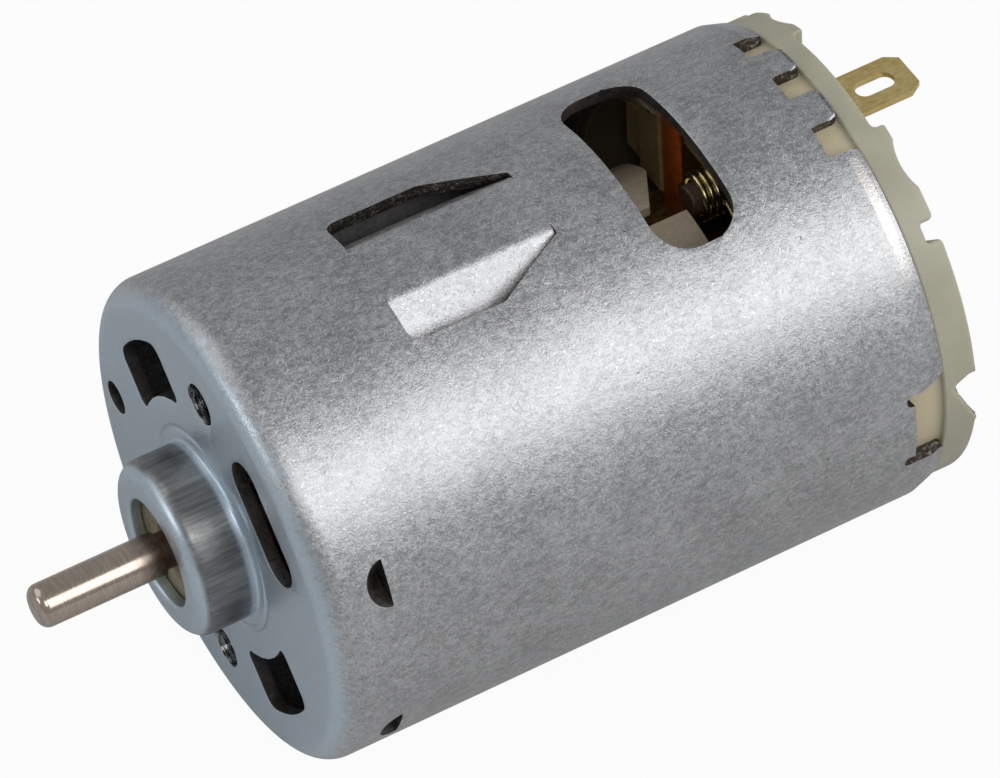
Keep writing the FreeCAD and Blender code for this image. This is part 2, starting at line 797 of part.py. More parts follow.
def terminal(label, turn):
    """A stamped strip: blade, inner strip, and the leg down to its brush holder."""
    body = new_body(label)
    half, low = "blade_half_width", f"({BLADE} - blade_thickness / 2)"
    raised(body, "XY_Plane", "blade_thickness", [
        (f"-{LEG}", "strip_start"), (half, "strip_start"),
        (half, "blade_end - blade_tip_back"), (f"{half} - blade_tip_out", "blade_end"),
        (f"blade_tip_out - {half}", "blade_end"), (f"-{half}", "blade_end - blade_tip_back"),
        (f"-{half}", "strip_end"), (f"-{LEG}", "strip_end"),
    ], offset=low)
    sunk(body, "XY_Plane", "blade_thickness",
         rectangle("-eye_width / 2", "eye_width / 2", "eye_middle - eye_length / 2",
                   "eye_middle + eye_length / 2"),
         offset=f"{low} + blade_thickness")
    eye_low, eye_high = value("eye_middle - eye_length"), value("eye_middle + eye_length / 2")
    upright = along(Vector(0, 0, 1))
    half_eye = value("eye_width")

    def eye_corner(edge):
        spot = edge.CenterOfMass
        return upright(edge) and eye_low < spot.y <= eye_high + 1e-6 and abs(spot.x) < half_eye

    rounded(body, "eye_corner", eye_corner)
    top = "(brush_height / 2 + holder_gap + holder_wall + seat_gap)"
    outside, inside = f"-{LEG}", f"blade_thickness - {LEG}"
    raised(body, "XZ_Plane", "strip_end - strip_start", [
        (inside, f"{low} + blade_thickness / 2"), (outside, f"{low} + blade_thickness / 2"),
        (outside, f"{top} + blade_thickness"), (f"{outside} - foot_length", f"{top} + blade_thickness"),
        (f"{outside} - foot_length", top), (inside, top),
    ], offset="-strip_start", reverse=True)
    body.Placement = about_shaft(turn)
    return body


def end_bell():
    """The moulded cover: floor, rim, skirt, bearing boss, spring posts and openings."""
    body = new_body("end_bell")
    fit = f"({INNER} - seat_gap)"
    rim_start = f"({RIM} + bell_rim_gap)"
    rim_end = f"({rim_start} + bell_rim_length)"
    rib_end = f"({rim_end} + bell_rib)"
    bush_end = f"({REAR_BUSH_START} + rear_bush_length + 2 * seat_gap)"
    turned(body, [
        ("rear_recess_radius", BELL_FLOOR), (SKIRT_INNER, BELL_FLOOR),
        (SKIRT_INNER, "skirt_start"), (fit, "skirt_start"), (fit, rim_start),
        ("bell_rim_radius", rim_start), ("bell_rim_radius", rib_end), ("bell_rib_inner", rib_end),
        ("bell_rib_inner", rim_end), ("boss_rear_radius", rim_end),
        ("boss_rear_radius", "boss_rear_end"), ("boss_rear_hole", "boss_rear_end"),
        ("boss_rear_hole", bush_end), ("rear_bush_radius", bush_end),
        ("rear_bush_radius", RECESS_END), ("rear_recess_radius", RECESS_END),
    ])
    cut_bell_rim(body, rib_end)
    cut_bell_openings(body, rib_end)
    posts = []
    for turn in (UP, -UP):
        post = rod("Post", "post_radius", f"{BELL_FLOOR} + can_wall - post_start")
        posts.append(moved(post, x=POST, y="post_start", turn=turn))
    bell = joined("EndBell", [body] + posts)
    body.Label = "end_bell_moulding"
    bell.Label = "end_bell"
    return bell


def cut_bell_rim(body, rib_end):
    """Gaps in the raised rib: wide at the terminals, small ones between, one each side."""
    inner, outer = "(bell_rib_inner - can_wall)", "(can_radius + can_wall)"
    cuts = []
    for middle in (UP, -UP):
        cuts.append((f"{middle} - bell_gap_angle", f"{middle} + bell_gap_angle", "bell_rib"))
    for middle in (0, 180):
        cuts.append((f"{middle} - bell_side_angle", f"{middle} + bell_side_angle",
                     "bell_side_depth"))
        for side in ("bell_notch_middle", "-bell_notch_middle"):
            cuts.append((f"{middle} + {side} - bell_notch_half",
                         f"{middle} + {side} + bell_notch_half", "bell_notch_depth"))
    for start, end, depth in cuts:
        sunk(body, "XZ_Plane", depth, wedge(inner, outer, start, end),
             offset=f"{depth} - {rib_end}")


def cut_bell_openings(body, rib_end):
    """The slots that the terminals pass, and four cooling openings through the floor."""
    half_x = "(blade_half_width + blade_slot_gap)"
    half_z = "(blade_thickness / 2 + blade_slot_gap)"
    depth = f"{rib_end} - {BELL_FLOOR}"
    slots = [
        rectangle(f"-{half_x}", half_x, f"{side} * {BLADE} - {half_z}",
                  f"{side} * {BLADE} + {half_z}") for side in (1, -1)
    ]
    sunk(body, "XZ_Plane", depth, *slots, offset=f"{depth} - {rib_end}")
    vents = []
    for turn in (45, 135, 225, 315):
        across, up = f"cos({turn})", f"sin({turn})"
        corners = []
        for out, side in ((-1, -1), (1, -1), (1, 1), (-1, 1)):
            radial = f"(bell_vent_radius + {out} * bell_vent_width / 2)"
            sideways = f"({side} * bell_vent_length / 2)"
            corners.append((f"{radial} * {across} - {sideways} * {up}",
                            f"{radial} * {up} + {sideways} * {across}"))
        vents.append(corners)
    sunk(body, "XZ_Plane", depth, *vents, offset=f"{depth} - {rib_end}")


def build_motor():
    """Make every piece once and give the list of them."""
    turns = (0, 120, 240)
    pole = value("pole_turn_angle")
    former_front = "(core_start - former_wall)"
    former_rear = f"({CORE_END} + former_wall)"
    return [
        motor_can(), end_bell(), magnet("magnet_right", 0), magnet("magnet_left", 180),
        *bearings(), shaft(), rotor_core(),
        core_insulator("core_insulator_front", former_front, "(core_start - seat_gap)",
                       "(core_start - former_front_reach)", "(core_start - seat_gap)"),
        core_insulator("core_insulator_rear", f"({CORE_END} + seat_gap)", former_rear,
                       f"({CORE_END} + seat_gap)", f"({CORE_END} + former_rear_reach)"),
        *[coil(f"coil_{number}", pole + turn) for number, turn in enumerate(turns, start=1)],
        commutator_hub(),
        *[commutator_bar(f"commutator_bar_{number}", pole + 60 + turn)
          for number, turn in enumerate(turns, start=1)],
        *rotor_stack(),
        brush("brush_right", 0), brush("brush_left", 180),
        brush_holder("brush_holder_right", 0), brush_holder("brush_holder_left", 180),
        brush_spring("spring_top", 0), brush_spring("spring_bottom", 180),
        terminal("terminal_top", 0), terminal("terminal_bottom", 180),
    ]


motor = build_motor()
doc.recompute()
for item in doc.Objects:
    if "Invalid" in item.State or "Error" in item.State:
        raise RuntimeError(f"{item.Label} failed: {item.State}")
for piece in motor:
    if piece.Shape.isNull() or not piece.Shape.isValid():
        raise RuntimeError(f"{piece.Label} has no valid shape")

os.makedirs("parts", exist_ok=True)
for piece in motor:
    piece.Shape.exportStep(f"parts/{piece.Label}.step")
    print(f"{piece.Label}: {len(piece.Shape.Solids)} solid, {piece.Shape.Volume:.1f} mm3")
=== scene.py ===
"""Visual model of a small brushed motor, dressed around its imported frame."""
import math
import random

import bmesh
import bpy
from bpy.props import FloatProperty, FloatVectorProperty, IntProperty, PointerProperty
from mathutils import Matrix, Vector


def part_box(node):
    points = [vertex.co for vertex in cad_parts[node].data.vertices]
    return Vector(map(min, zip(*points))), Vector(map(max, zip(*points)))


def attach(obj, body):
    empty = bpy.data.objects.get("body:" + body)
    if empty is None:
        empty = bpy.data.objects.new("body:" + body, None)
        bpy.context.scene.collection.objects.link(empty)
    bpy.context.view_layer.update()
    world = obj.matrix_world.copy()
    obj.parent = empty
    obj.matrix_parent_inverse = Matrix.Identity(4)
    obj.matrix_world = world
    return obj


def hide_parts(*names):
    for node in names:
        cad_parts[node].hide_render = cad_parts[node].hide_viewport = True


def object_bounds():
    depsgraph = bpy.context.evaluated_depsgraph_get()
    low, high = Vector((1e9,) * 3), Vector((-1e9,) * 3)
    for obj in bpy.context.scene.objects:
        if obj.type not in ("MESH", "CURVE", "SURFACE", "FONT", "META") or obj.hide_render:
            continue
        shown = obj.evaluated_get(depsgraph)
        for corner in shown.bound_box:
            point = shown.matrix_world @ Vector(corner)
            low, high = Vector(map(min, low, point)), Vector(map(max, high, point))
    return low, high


bl_info = {
    "name": "Brushed motor",
    "version": (1, 0, 0),
    "blender": (4, 5, 0),
    "location": "View3D > Sidebar > Motor",
    "description": "Builds the visual pieces of a small brushed motor around its frame",
    "category": "Object",
}

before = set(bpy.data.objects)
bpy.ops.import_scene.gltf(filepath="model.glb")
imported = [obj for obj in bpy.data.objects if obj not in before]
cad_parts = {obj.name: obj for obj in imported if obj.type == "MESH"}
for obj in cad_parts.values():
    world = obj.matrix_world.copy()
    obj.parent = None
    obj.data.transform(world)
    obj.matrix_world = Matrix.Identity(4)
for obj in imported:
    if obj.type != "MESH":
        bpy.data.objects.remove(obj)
cad_bounds = [list(corner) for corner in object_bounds()]

# Pieces are modelled in millimetres, with the shaft along Y, and brought to metres at the
# end. Angles about the shaft are in degrees from +X towards +Z.
MM = 0.001
SHAFT = Vector((0, 1, 0))
UP_ANGLE = 90


def box_mm(node):
    """A node's lowest and highest corners in millimetres."""
    low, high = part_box(node)
    return Vector(low) / MM, Vector(high) / MM


CAN_LOW, CAN_HIGH = box_mm("motor_can")
BELL_LOW, BELL_HIGH = box_mm("end_bell")
SHAFT_LOW, SHAFT_HIGH = box_mm("shaft")


# Settings

class MOTOR_PG_can(bpy.types.PropertyGroup):
    """Sizes of the drawn can, in millimetres."""
    wall: FloatProperty(name="Wall", description="Thickness of the sheet", default=1.0)
    corner: FloatProperty(name="Corner", description="Outer radius of the front corner",
                          default=1.9)
    boss_radius: FloatProperty(name="Boss radius", description="Outside of the pilot boss",
                               default=6.5)
    boss_hole: FloatProperty(name="Boss hole", description="Radius of the hole in the boss",
                             default=4.0)
    boss_edge: FloatProperty(name="Boss edge", description="Rounding of the boss's nose",
                             default=1.3)
    burr: FloatProperty(name="Edge rounding", description="Rounding of the pierced edges",
                        default=0.11)
    window_start: FloatProperty(name="Window start", description="Front edge of the window",
                                default=31.8)
    window_length: FloatProperty(name="Window length", description="Window size along the shaft",
                                 default=6.15)
    window_width: FloatProperty(name="Window width", description="Window size across the can",
                                default=16.2)
    window_corner: FloatProperty(name="Window corner", description="Radius of its corners",
                                 default=2.5)
    lance_tilt: FloatProperty(name="Lance tilt", description="How far the lances are bent in",
                              default=math.radians(28), subtype="ANGLE")
    segments: IntProperty(name="Segments", description="Facets around the can", default=256)


class MOTOR_PG_bell(bpy.types.PropertyGroup):
    """Sizes of the moulded end bell, in millimetres."""
    rim_start: FloatProperty(name="Rim start", description="Where the rim meets the can's teeth",
                             default=47.9)
    rim_end: FloatProperty(name="Rim end", description="Back face of the cover", default=49.6)
    rib_inner: FloatProperty(name="Rib inner", description="Inner radius of the raised rib",
                             default=14.0)
    rounding: FloatProperty(name="Rounding", description="Rounding of the moulded edges",
                            default=0.22)


class MOTOR_PG_finish(bpy.types.PropertyGroup):
    """Colours of the two large finishes."""
    steel: FloatVectorProperty(name="Plated steel", description="Skin of the can",
                               subtype="COLOR", default=(0.485, 0.488, 0.497))
    nylon: FloatVectorProperty(name="Ivory nylon", description="End bell",
                               subtype="COLOR", default=(0.41, 0.398, 0.305))


class MOTOR_PG_stage(bpy.types.PropertyGroup):
    """Camera and light."""
    azimuth: FloatProperty(name="Azimuth", description="Camera's bearing about the motor",
                           default=math.radians(63.1134), subtype="ANGLE")
    elevation: FloatProperty(name="Elevation", description="Camera's height above the horizon",
                             default=math.radians(47.6288), subtype="ANGLE")
    roll: FloatProperty(name="Roll", description="Camera's turn about its view",
                        default=math.radians(-3.8707), subtype="ANGLE")
    distance: FloatProperty(name="Distance", description="Camera to target, in metres",
                            default=0.538999, unit="LENGTH")
    lens: FloatProperty(name="Lens", description="Focal length in millimetres", default=280.98)


# Materials

class Wire:
    """A value in a material's nodes; Python's operators add Math nodes."""

    def __init__(self, finish, socket):
        self.finish, self.socket = finish, socket

    def maths(self, operation, *values):
        return self.finish.node("ShaderNodeMath", {"operation": operation}, list(values))

    def __add__(self, other):
        return self.maths("ADD", self, other)

    __radd__ = __add__

    def __sub__(self, other):
        return self.maths("SUBTRACT", self, other)

    def __rsub__(self, other):
        return self.maths("SUBTRACT", other, self)

    def __mul__(self, other):
        return self.maths("MULTIPLY", self, other)

    __rmul__ = __mul__

    def __truediv__(self, other):
        return self.maths("DIVIDE", self, other)

    def __pow__(self, other):
        return self.maths("POWER", self, other)

    def above(self, low, high):
        """0 below low, 1 above high and smooth between."""
        return self.finish.node("ShaderNodeMapRange", {"interpolation_type": "SMOOTHSTEP"},
                                {"Value": self, "From Min": low, "From Max": high})


class Finish:
    """One material, built from a Principled shader and the nodes that feed it."""

    def __init__(self, name, **sockets):
        self.material = bpy.data.materials.new(name)
        self.material.use_nodes = True
        self.tree = self.material.node_tree
        self.tree.nodes.clear()
        self.shader = self.tree.nodes.new("ShaderNodeBsdfPrincipled")
        output = self.tree.nodes.new("ShaderNodeOutputMaterial")
        self.tree.links.new(self.shader.outputs[0], output.inputs["Surface"])
        self.place = self.node("ShaderNodeTexCoord", output="Object")
        self.set(**sockets)

    def feed(self, socket, value):
        if isinstance(value, Wire):
            self.tree.links.new(value.socket, socket)
        elif hasattr(value, "__len__") and len(value) == 3 and socket.type == "RGBA":
            socket.default_value = (*value, 1.0)
        else:
            socket.default_value = value

    def node(self, kind, settings=None, inputs=None, output=0):
        """A node of a type, its settings first, then the values or links of its sockets."""
        made = self.tree.nodes.new(kind)
        for name, value in (settings or {}).items():
            setattr(made, name, value)
        pairs = enumerate(inputs) if isinstance(inputs, list) else (inputs or {}).items()
        for key, value in pairs:
            self.feed(made.inputs[key], value)
        return Wire(self, made.outputs[output])

    def set(self, **sockets):
        for name, value in sockets.items():
            self.feed(self.shader.inputs[name.replace("_", " ").title()], value)

    def noise(self, size, detail=3.0, rough=0.55, vector=None, stretch=None):
        """Cloudy noise with blobs of about a size in millimetres."""
        vector = vector or self.place
        if stretch is not None:
            vector = self.node("ShaderNodeMapping", None, {"Vector": vector, "Scale": stretch})
        sizes = {"Vector": vector, "Scale": 1 / (size * MM), "Detail": detail, "Roughness": rough}
        return self.node("ShaderNodeTexNoise", None, sizes)

    def axes(self):
        """The three coordinates, in millimetres."""
        split = self.tree.nodes.new("ShaderNodeSeparateXYZ")
        self.tree.links.new(self.place.socket, split.inputs[0])
        return [Wire(self, socket) * (1 / MM) for socket in split.outputs]

    def mix(self, factor, first, second):
        """A blend of two colours."""
        made = self.tree.nodes.new("ShaderNodeMix")
        made.data_type = "RGBA"
        for key, value in ((0, factor), (6, first), (7, second)):
            self.feed(made.inputs[key], value)
        return Wire(self, made.outputs[2])

    def bump(self, height, depth, strength):
        """Raise the surface by a height map that spans a depth in millimetres."""
        inputs = {"Height": height, "Distance": depth * MM, "Strength": strength}
        self.set(normal=self.node("ShaderNodeBump", None, inputs))


def shade(colour, factor):
    return tuple(channel * factor for channel in colour)


finishes = {}


def finish(name):
    """The material of a finish, made the first time that it is asked for."""
    if name not in finishes:
        finishes[name] = (MAKERS[name]() if name in MAKERS
                          else patterned(name, *PATTERNED[name]))
    return finishes[name]


def plated_steel():
    """Zinc-plated deep-drawn sheet: a frosted, scratched and stained side with painted glints, a
    smoother bluish face painted lighter for its reflection of the floor, a boss streaked by
    rubbing with painted shade on its side, and a painted highlight on the rim's chamfer strip."""
    plating = bpy.context.scene.motor_finish.steel
    skin = Finish("plated_steel", metallic=1.0)
    x, y, z = skin.axes()
    out = (x * x + z * z) ** 0.5
    frost = skin.noise(0.75, 4.0, 0.65)
    face = 1.0 - (y * (frost * 3.0 - 0.5)).above(0.1, 1.3)
    side = 1.0 - face
    boss = (1.0 - y.above(-0.75, -0.3)) * (1.0 - (6.42 - out).above(0.0, 0.25))
    corner = y.above(0.05, 0.5)
    steep = (z * z) ** 0.5 / out
    # Painted highlight: the rim's chamfer strip is given a light colour where a lamp's reflection
    # falls.
    strip = (y.above(46.58, 46.64) * (1.0 - y.above(47.3, 47.5))
             * steep.above(0.55, 0.66) * (1.0 - steep.above(0.915, 0.925)) * x.above(0.0, 1.0))
    grain = skin.noise(0.15, 2.0, 0.75)
    dashes = skin.noise(0.30, 3.0, 0.7, stretch=(1.0, 0.45, 1.0))
    clouds = skin.noise(5.5, 4.0, 0.6)
    streaks = skin.noise(0.35, 3.0, 0.7, stretch=(1.0, 0.07, 1.0))
    # Painted glints: small bright flecks on the side stand in for sparkle in the highlight. The
    # scratches are real wear.
    painted_glints = skin.noise(0.19, 1.0, 0.5, stretch=(1.0, 0.6, 1.0)).above(0.68, 0.76)
    pits = skin.noise(0.55, 2.0, 0.6).above(0.735, 0.77)
    stains = skin.noise(2.4, 4.0, 0.65).above(0.62, 0.74)
    turn = skin.node("ShaderNodeMath", {"operation": "ARCTAN2"}, [z, x]) * CAN_HIGH.x
    crossed = skin.node("ShaderNodeCombineXYZ", None, [(turn + y) * MM, (turn - y) * MM, 0.0])
    scratches = (skin.noise(0.16, 1.0, 0.5, crossed, (1.0, 0.14, 1.0)).above(0.64, 0.72)
                 + skin.noise(0.16, 1.0, 0.5, crossed, (0.14, 1.0, 1.0)).above(0.64, 0.72))
    tone = grain * 0.38 + dashes * 0.32 + frost * 0.18 + clouds * 0.12
    light = skin.mix(tone.above(0.38, 0.62), shade(plating, 0.68),
                     shade(plating, 1.28))
    grey = skin.mix(stains * 0.35, light, (0.30, 0.305, 0.32))
    marks = (painted_glints * 0.6 + scratches * clouds.above(0.40, 0.60) * 0.55) * side
    glinted_and_scratched = skin.mix(marks, grey, (0.80, 0.80, 0.79))
    dulled = skin.mix(pits * side * 0.7, glinted_and_scratched, (0.10, 0.095, 0.09))
    # The front face is lighter and bluish: partly its smoother plating, partly painted reflection
    # of the pale floor.
    blue_and_painted_reflection = skin.mix(tone.above(0.35, 0.65), (0.55, 0.645, 0.73), (0.635, 0.74, 0.83))
    colour = skin.mix(face * 0.9, dulled, blue_and_painted_reflection)
    # Painted shade: the boss's side is darker than the plating, with streaks from rubbing on top.
    rubbed_and_shaded = skin.mix(streaks.above(0.3, 0.75), (0.17, 0.175, 0.185), (0.33, 0.33, 0.32))
    bright = skin.mix(strip, colour, (0.70, 0.68, 0.665))
    skin.set(base_color=skin.mix(boss, bright, rubbed_and_shaded),
             roughness=0.42 + (tone - 0.5) * 0.7 - face * 0.05)
    height = (grain * (corner * 0.7 + 0.3) + dashes * side * 0.6 + streaks * boss * 0.5
              + scratches * side * 0.3)
    skin.bump(height, 0.020, 1.0)
    return skin.material


def sheared_steel():
    """The pierced edges of the sheet: a dark brown break with torn bright streaks."""
    edge = Finish("sheared_steel", metallic=1.0)
    torn = edge.noise(0.25, 4.0, 0.7)
    streaks = edge.noise(0.35, 3.0, 0.6, stretch=(1.0, 0.3, 1.0))
    colour = edge.mix((torn * 0.6 + streaks * 0.4).above(0.48, 0.68),
                      (0.085, 0.075, 0.06), (0.50, 0.49, 0.47))
    edge.set(base_color=colour, roughness=0.36 + torn * 0.25)
    edge.bump(torn + streaks, 0.06, 0.9)
    return edge.material


def ivory_nylon():
    """Natural nylon: waxy, slightly translucent, with flow marks."""
    ivory = bpy.context.scene.motor_finish.nylon
    body = Finish("ivory_nylon", roughness=0.42, subsurface_weight=0.35, subsurface_scale=0.0015)
    body.shader.inputs["Subsurface Radius"].default_value = (1.0, 0.85, 0.5)
    flow = body.noise(5.0, 3.0, 0.5)
    fine = body.noise(0.25, 2.0, 0.6)
    x, y, z = body.axes()
    out = (x * x + z * z) ** 0.5
    inner = 1.0 - y.above(47.2, 48.2)
    # Painted shade: the bell's floor and the inside of its skirt are darkened almost to black.
    shaded = (1.0 - out.above(16.6, 16.85)) * (1.0 - y.above(43.9, 44.3))
    tone = body.mix(flow.above(0.35, 0.65), shade(ivory, 0.93), shade(ivory, 1.05))
    warm = body.mix(inner * 0.7, tone, (0.62, 0.52, 0.34))
    colour = body.mix(shaded * 0.85, warm, (0.07, 0.05, 0.03))
    body.set(base_color=colour, roughness=0.36 + fine * 0.16)
    body.bump(fine + flow, 0.02, 0.5)
    return body.material


def patterned(name, metallic, low, high, rough, size=0.3, depth=0.02, stretch=None):
    """A metal or a dull stuff with a fine pattern between two tones."""
    stuff = Finish(name, metallic=metallic)
    fine = stuff.noise(size, 3.0, 0.65, stretch=stretch)
    broad = stuff.noise(size * 9, 2.0, 0.5)
    tone = fine * 0.6 + broad * 0.4
    swing, strength = (rough, 0.6) if metallic else (0.2, 0.7)
    stuff.set(base_color=stuff.mix(tone.above(0.36, 0.64), low, high),
              roughness=rough + (fine - 0.5) * swing)
    stuff.bump(fine, depth, strength)
    return stuff.material


def ground_steel():
    """Ground bar, with painted brown shade where it enters the bush."""
    bar = Finish("ground_steel", metallic=1.0)
    y = bar.axes()[1]
    fine = bar.noise(0.2, 3.0, 0.65, stretch=(0.2, 4.0, 0.2))
    stain = bar.noise(0.8, 3.0, 0.6)
    # Painted shade: the bar is darkened to brown where it enters the boss and the bush.
    entry_shade = y.above(-6.8, -4.7) * (1.0 - y.above(-3.3, -3.0))
    clean = bar.mix(fine.above(0.36, 0.64), (0.45, 0.37, 0.31), (0.60, 0.51, 0.44))
    bar.set(base_color=bar.mix(entry_shade * (stain * 0.8 + 0.45), clean, (0.11, 0.07, 0.045)),
            roughness=0.14 + fine * 0.1 + entry_shade * 0.2)
    bar.bump(fine, 0.003, 0.6)
    return bar.material


def laminated_steel():
    """Stacked laminations: fine lines across the shaft, stained with varnish."""
    stack = Finish("laminated_steel", metallic=1.0)
    y, sheet = stack.axes()[1], 0.25
    lines = stack.node("ShaderNodeMath", {"operation": "PINGPONG"}, [y, sheet]) * (1 / sheet)
    stain = stack.noise(1.5, 3.0, 0.6)
    colour = stack.mix(lines.above(0.15, 0.5), (0.06, 0.05, 0.045), (0.34, 0.33, 0.32))
    stack.set(base_color=stack.mix(stain.above(0.5, 0.7) * 0.6, colour, (0.20, 0.12, 0.07)),
              roughness=0.42)
    stack.bump(lines, 0.05, 0.8)
    return stack.material


MAKERS = {
    "plated_steel": plated_steel, "sheared_steel": sheared_steel, "ivory_nylon": ivory_nylon,
    "ground_steel": ground_steel, "laminated_steel": laminated_steel,
}
# Metallic, darker tone, lighter tone and roughness, then the pattern's size, depth and stretch
PATTERNED = {
    # Painted shade: near-black walls for the cuts whose insides lie in shade
    "dark_break": (0.0, (0.010, 0.009, 0.008), (0.045, 0.04, 0.036), 0.5),
    # Threaded walls whose dark tone is painted shade in the screw holes
    "cut_thread": (1.0, (0.03, 0.03, 0.03), (0.55, 0.55, 0.56), 0.2, 0.8, 0.1, (1.0, 4.0, 1.0)),
    "stamped_brass": (1.0, (0.70, 0.53, 0.20), (0.86, 0.70, 0.34), 0.38, 0.25, 0.012,
                      (1.0, 0.35, 1.0)),
    "sintered_bronze": (1.0, (0.22, 0.18, 0.11), (0.46, 0.39, 0.27), 0.55, 0.18, 0.03),
    "spring_steel": (1.0, (0.36, 0.36, 0.36), (0.55, 0.55, 0.54), 0.3, 0.3, 0.01),
    "bronze_wire": (1.0, (0.46, 0.36, 0.16), (0.72, 0.62, 0.34), 0.22, 0.2, 0.01),
    "turned_copper": (1.0, (0.50, 0.22, 0.11), (0.72, 0.38, 0.22), 0.25, 0.2, 0.006,
                      (0.3, 4.0, 0.3)),
    "enamelled_copper": (1.0, (0.42, 0.11, 0.04), (0.66, 0.24, 0.09), 0.28, 0.8, 0.006),
    "ferrite": (0.0, (0.035, 0.035, 0.038), (0.07, 0.068, 0.068), 0.62, 0.35),
    "beige_former": (0.0, (0.40, 0.33, 0.235), (0.50, 0.42, 0.31), 0.5),
    "tan_card": (0.0, (0.40, 0.27, 0.11), (0.50, 0.36, 0.16), 0.4, 0.5),
    "red_lacquer": (0.0, (0.62, 0.10, 0.015), (0.82, 0.19, 0.03), 0.3, 0.6, 0.01),
    "phenolic": (0.0, (0.05, 0.028, 0.018), (0.10, 0.055, 0.035), 0.45),
    "carbon": (0.0, (0.035, 0.035, 0.037), (0.085, 0.08, 0.08), 0.4, 0.15),
    "red_fibre": (0.0, (0.20, 0.05, 0.03), (0.34, 0.10, 0.06), 0.6),
    "oil_felt": (0.0, (0.42, 0.36, 0.26), (0.62, 0.56, 0.44), 0.9, 0.2, 0.08),
}


# Modelling helpers

def start_clean():
    """Leave edit mode's leftovers and old selections behind before a new primitive."""
    if bpy.context.object and bpy.context.object.mode != "OBJECT":
        bpy.ops.object.mode_set(mode="OBJECT")
    bpy.ops.object.select_all(action="DESELECT")


def only(piece):
    """Select one piece and nothing else."""
    start_clean()
    piece.select_set(True)
    bpy.context.view_layer.objects.active = piece
    return piece


def open_mesh(piece):
    """Go into a piece's edit mode with all of it selected."""
    only(piece)
    bpy.ops.object.mode_set(mode="EDIT")
    bpy.ops.mesh.select_all(action="SELECT")


def close_mesh():
    """Point all the faces outwards and leave edit mode."""
    bpy.ops.mesh.select_all(action="SELECT")
    bpy.ops.mesh.normals_make_consistent(inside=False)
    bpy.ops.object.mode_set(mode="OBJECT")


def pick(piece, kind, test):
    """Select the vertices, edges or faces of a piece in edit mode that pass a test."""
    bpy.ops.mesh.select_mode(type={"verts": "VERT", "edges": "EDGE", "faces": "FACE"}[kind])
    bpy.ops.mesh.select_all(action="DESELECT")
    mesh = bmesh.from_edit_mesh(piece.data)
    for item in getattr(mesh, kind):
        item.select_set(test(item))
    mesh.select_flush_mode()
    bmesh.update_edit_mesh(piece.data)


def coat(piece, *names):
    """Give a piece its materials, first slot first."""
    piece.data.materials.clear()
    for name in names:
        piece.data.materials.append(finish(name))
    return piece


def draw(name, corners, closed):
    """Draw (x, y) corners as a line of edges from one vertex, and stay in edit mode."""
    start_clean()
    bpy.ops.mesh.primitive_plane_add(size=1, location=(0, 0, 0))
    piece = bpy.context.object
    piece.name = name
    bpy.ops.object.mode_set(mode="EDIT")
    bpy.ops.mesh.select_mode(type="VERT")
    bpy.ops.mesh.select_all(action="SELECT")
    bpy.ops.mesh.merge(type="CENTER")
    bpy.ops.transform.translate(value=(corners[0][0], corners[0][1], 0))
    for (x, y), (next_x, next_y) in zip(corners, corners[1:]):
        step = (next_x - x, next_y - y, 0)
        bpy.ops.mesh.extrude_vertices_move(TRANSFORM_OT_translate={"value": step})
    if closed:
        pick(piece, "verts", lambda vert: len(vert.link_edges) < 2)
        bpy.ops.mesh.edge_face_add()
    bpy.ops.mesh.select_all(action="SELECT")
    return piece


def lathe(name, profile, segments, closed=True):
    """Spin a profile of (radius, place) corners about the shaft."""
    piece = draw(name, profile, closed)
    bpy.ops.mesh.spin(steps=segments, angle=math.tau, center=(0, 0, 0), axis=SHAFT)
    bpy.ops.mesh.select_all(action="SELECT")
    bpy.ops.mesh.remove_doubles(threshold=0.0005)
    close_mesh()
    return piece


def arc(centre, radius, start, end, steps):
    """Points of an arc in the (radius, place) plane, both ends included."""
    return [
        (centre[0] + radius * math.cos(math.radians(start + (end - start) * step / steps)),
         centre[1] + radius * math.sin(math.radians(start + (end - start) * step / steps)))
        for step in range(steps + 1)
    ]


def turn_about_shaft(piece, degrees):
    """Turn a piece from +X towards +Z."""
    only(piece)
    piece.rotation_euler = (0, -math.radians(degrees), 0)
    bpy.ops.object.transform_apply()
    return piece


def block(size, place, turn=0.0, corner=0.0, along="Y", steps=8):
    """A box with the edges along one axis rounded, placed and turned about the shaft."""
    start_clean()
    bpy.ops.mesh.primitive_cube_add(size=1, scale=size)
    piece = bpy.context.object
    bpy.ops.object.transform_apply()
    if corner:
        axis = "XYZ".index(along)
        round_edges(piece, corner, steps, lambda edge: is_along(edge, axis))
    piece.location = place
    bpy.ops.object.transform_apply()
    return turn_about_shaft(piece, turn)


def round_edges(piece, width, segments, test):
    """Round the edges of a piece that pass a test."""
    open_mesh(piece)
    pick(piece, "edges", test)
    bpy.ops.mesh.bevel(offset=width, segments=segments, affect="EDGES", loop_slide=False)
    bpy.ops.object.mode_set(mode="OBJECT")
    return piece


def is_along(edge, axis):
    """Whether an edge runs along an axis."""
    direction = edge.verts[1].co - edge.verts[0].co
    return abs(direction[axis]) > 0.999 * direction.length


def rod(radius, start, end, place=(0, 0), turn=0.0):
    """A cylinder along the shaft's direction, placed at (x, z)."""
    start_clean()
    bpy.ops.mesh.primitive_cylinder_add(
        vertices=48, radius=radius, depth=end - start, rotation=(-math.pi / 2, 0, 0),
        location=(place[0], (start + end) / 2, place[1]))
    bpy.ops.object.transform_apply()
    return turn_about_shaft(bpy.context.object, turn)


def drum(radius, length, place, turn):
    """A cylinder that points away from the shaft."""
    start_clean()
    bpy.ops.mesh.primitive_cylinder_add(
        vertices=96, radius=radius, depth=length, rotation=(0, math.pi / 2, 0), location=place)
    bpy.ops.object.transform_apply()
    return turn_about_shaft(bpy.context.object, turn)


